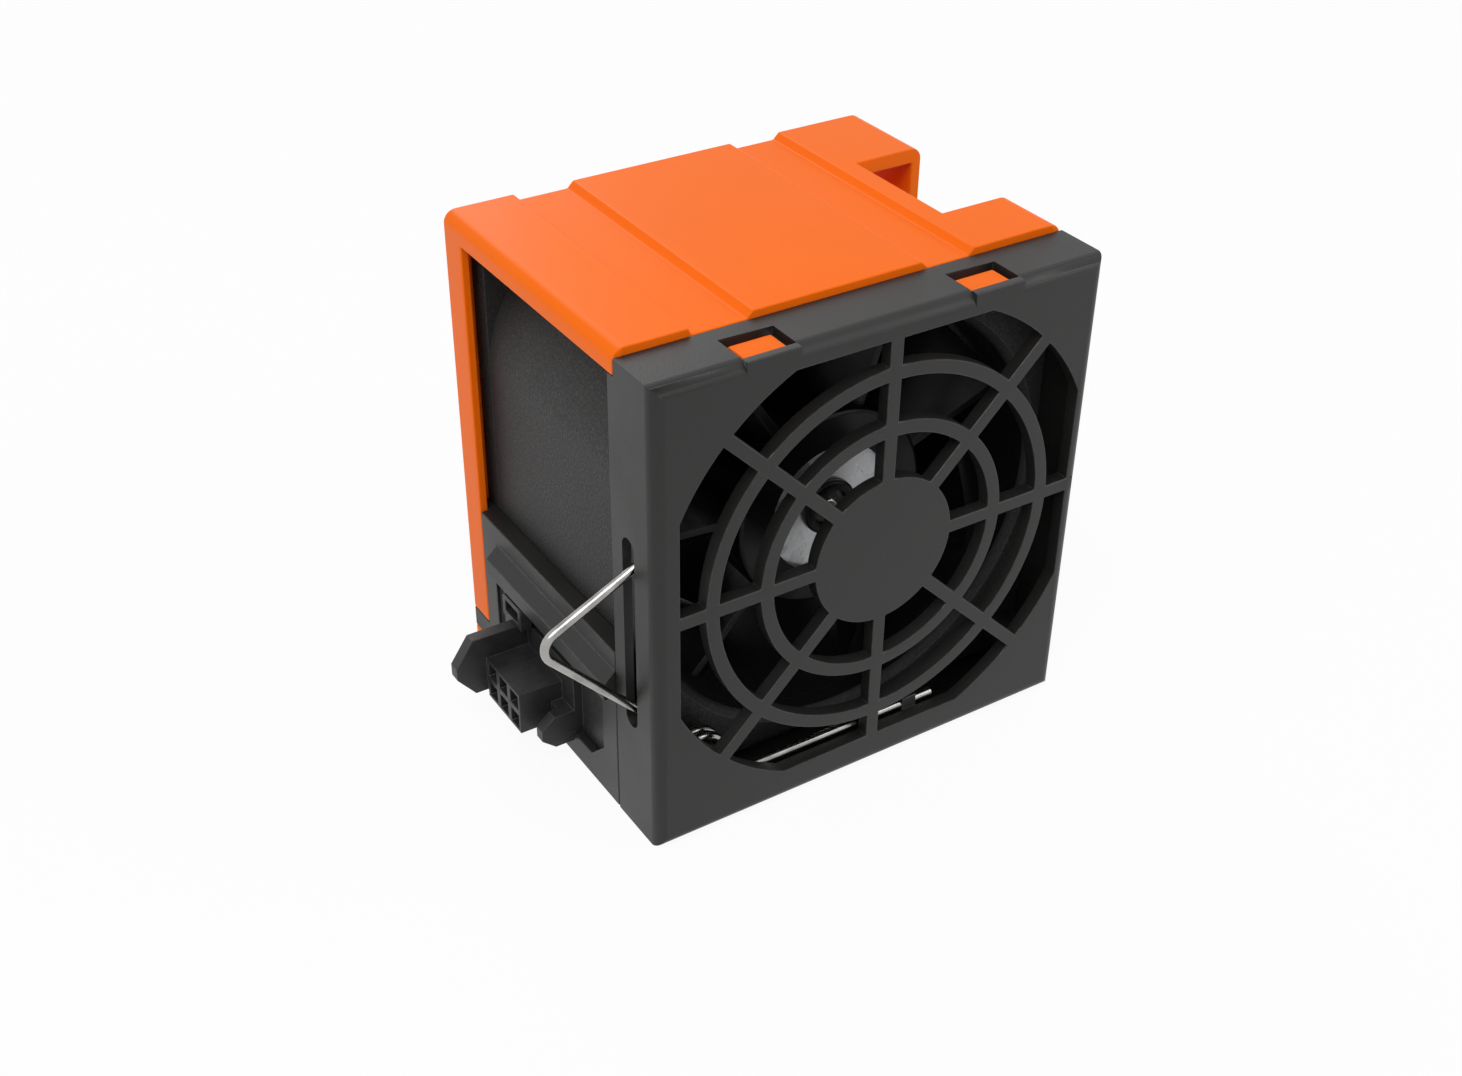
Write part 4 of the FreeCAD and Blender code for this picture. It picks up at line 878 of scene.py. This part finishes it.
class FANMODULE_OT_catch(bpy.types.Operator):
    """Sprung wire catch: the V-shaped arm and the coil that drives it"""
    bl_idname = "fan_module.catch"
    bl_label = "Wire catch"

    def execute(self, context):
        steel = drawn_wire_steel()
        for node, name, points in (("catch_wire", "catch_arm", arm_points()),
                                   ("catch_coil", "coil_and_leg", leg_points())):
            seat(wire_piece(name, points, steel), node)
        return {"FINISHED"}


class FANMODULE_OT_stage(bpy.types.Operator):
    """Pale floor, soft lamps and the camera"""
    bl_idname = "fan_module.stage"
    bl_label = "Studio"

    def execute(self, context):
        make_floor()
        make_sky()
        low, high = (Vector(corner) for corner in cad_box)
        middle = (low + high) / 2
        for name, place, side, power in LAMPS:
            add_lamp(name, middle + Vector(place), middle, side, power)
        add_camera(middle)
        context.scene.view_settings.view_transform = "Standard"
        return {"FINISHED"}


# ------------------------------------------------- studio
def seen_directly(graph):
    """One for camera, mirror and glass rays, nought for the rays that carry light."""
    camera, mirror, glass = (graph.node("ShaderNodeLightPath", {}, {}, name)
                             for name in ("Is Camera Ray", "Is Glossy Ray", "Is Transmission Ray"))
    total = camera + mirror + glass
    return graph.node("ShaderNodeMath", {"operation": "MINIMUM"}, {0: total, 1: 1.0})


def make_floor():
    """A wide floor that looks white and keeps the shadow of the object."""
    side = settings().studio.floor
    work = bmesh.new()
    bmesh.ops.create_grid(work, x_segments=1, y_segments=1, size=side / 2)
    mesh = bpy.data.meshes.new("floor")
    work.to_mesh(mesh)
    work.free()
    mesh.transform(Matrix.Translation((0.0, 0.0, cad_box[0][2] - FLOOR_GAP)))
    floor = new_piece("floor", mesh)
    finish = Finish("white_sweep")
    speck = finish.noise(0.02, 2.0)
    finish.put(finish.shader.inputs["Base Color"],
               finish.mixed(speck, (0.86, 0.86, 0.86), (0.89, 0.89, 0.89)))
    finish.shader.inputs["Roughness"].default_value = 0.9
    finish.shader.inputs["Specular IOR Level"].default_value = 0.0
    glow = finish.node("ShaderNodeEmission", {}, {"Color": (1.0, 1.0, 1.0), "Strength": 1.0})
    lit = Signal(finish, finish.shader.outputs[0])
    both = finish.node("ShaderNodeMixShader", {},
                       {0: seen_directly(finish) * FLOOR_WHITENESS, 1: lit, 2: glow})
    finish.put(finish.tree.nodes["Material Output"].inputs["Surface"], both)
    coat(floor, finish.material)


def make_sky():
    """Even light from all round, behind a white background."""
    world = bpy.data.worlds.new("studio_air")
    world.use_nodes = True
    bpy.context.scene.world = world
    graph = Graph(world.node_tree)
    direct = seen_directly(graph)
    ambient = settings().studio.ambient
    strength = ambient + direct * (1.0 - ambient)
    background = world.node_tree.nodes["Background"]
    background.inputs["Color"].default_value = (1.0, 1.0, 1.0, 1.0)
    graph.put(background.inputs["Strength"], strength)


def add_lamp(name, place, aim, side, power):
    """A square softbox that faces the object."""
    light = bpy.data.lights.new(name, "AREA")
    light.shape = "SQUARE"
    light.size = side
    light.energy = power
    lamp = new_piece(name, light)
    lamp.location = place
    lamp.rotation_euler = (aim - place).to_track_quat("-Z", "Y").to_euler()


def add_camera(middle):
    """The camera, turned, raised and rolled about its aim."""
    studio = settings().studio
    turn, rise = studio.view_turn, studio.view_rise
    aim = middle + Vector(AIM_OFFSET)
    forward = Vector((-math.sin(turn) * math.cos(rise), math.cos(turn) * math.cos(rise),
                      -math.sin(rise)))
    right = Vector((math.cos(turn), math.sin(turn), 0.0))
    up = right.cross(forward)
    across = right * math.cos(studio.view_roll) + up * math.sin(studio.view_roll)
    upward = across.cross(forward)
    data = bpy.data.cameras.new("camera")
    data.lens = studio.focal
    data.sensor_width = SENSOR_WIDTH
    camera = new_piece("camera", data)
    place = Matrix((across, upward, -forward)).transposed().to_4x4()
    place.translation = aim - forward * studio.view_reach
    camera.matrix_world = place
    bpy.context.scene.camera = camera


# ------------------------------------------------- panel and registration
class FANMODULE_PT_panel(bpy.types.Panel):
    """Lists the steps that finish the fan module"""
    bl_idname = "FANMODULE_PT_panel"
    bl_label = "Fan Module"
    bl_space_type = "VIEW_3D"
    bl_region_type = "UI"
    bl_category = "Fan Module"

    def draw(self, context):
        for step in STEPS:
            self.layout.operator(step.bl_idname)
        for group in (settings().edges, settings().colours, settings().catch):
            box = self.layout.box()
            for name in group.bl_rna.properties.keys():
                if name not in ("rna_type", "name"):
                    box.prop(group, name)


STEPS = (FANMODULE_OT_front_bezel, FANMODULE_OT_top_cover, FANMODULE_OT_fan_casing,
         FANMODULE_OT_impeller, FANMODULE_OT_motor, FANMODULE_OT_connector,
         FANMODULE_OT_catch, FANMODULE_OT_stage)
CLASSES = (EdgeSizes, FinishColours, CatchSizes, StudioSizes, FanModuleSettings,
           *STEPS, FANMODULE_PT_panel)


def register():
    for item in CLASSES:
        bpy.utils.register_class(item)
    bpy.types.Scene.fan_module = PointerProperty(type=FanModuleSettings)


def unregister():
    del bpy.types.Scene.fan_module
    for item in reversed(CLASSES):
        bpy.utils.unregister_class(item)


def main():
    register()
    bpy.ops.fan_module.front_bezel()
    bpy.ops.fan_module.top_cover()
    bpy.ops.fan_module.fan_casing()
    bpy.ops.fan_module.impeller()
    bpy.ops.fan_module.motor()
    bpy.ops.fan_module.connector()
    bpy.ops.fan_module.catch()
    bpy.ops.fan_module.stage()


if __name__ == "__main__":
    main()
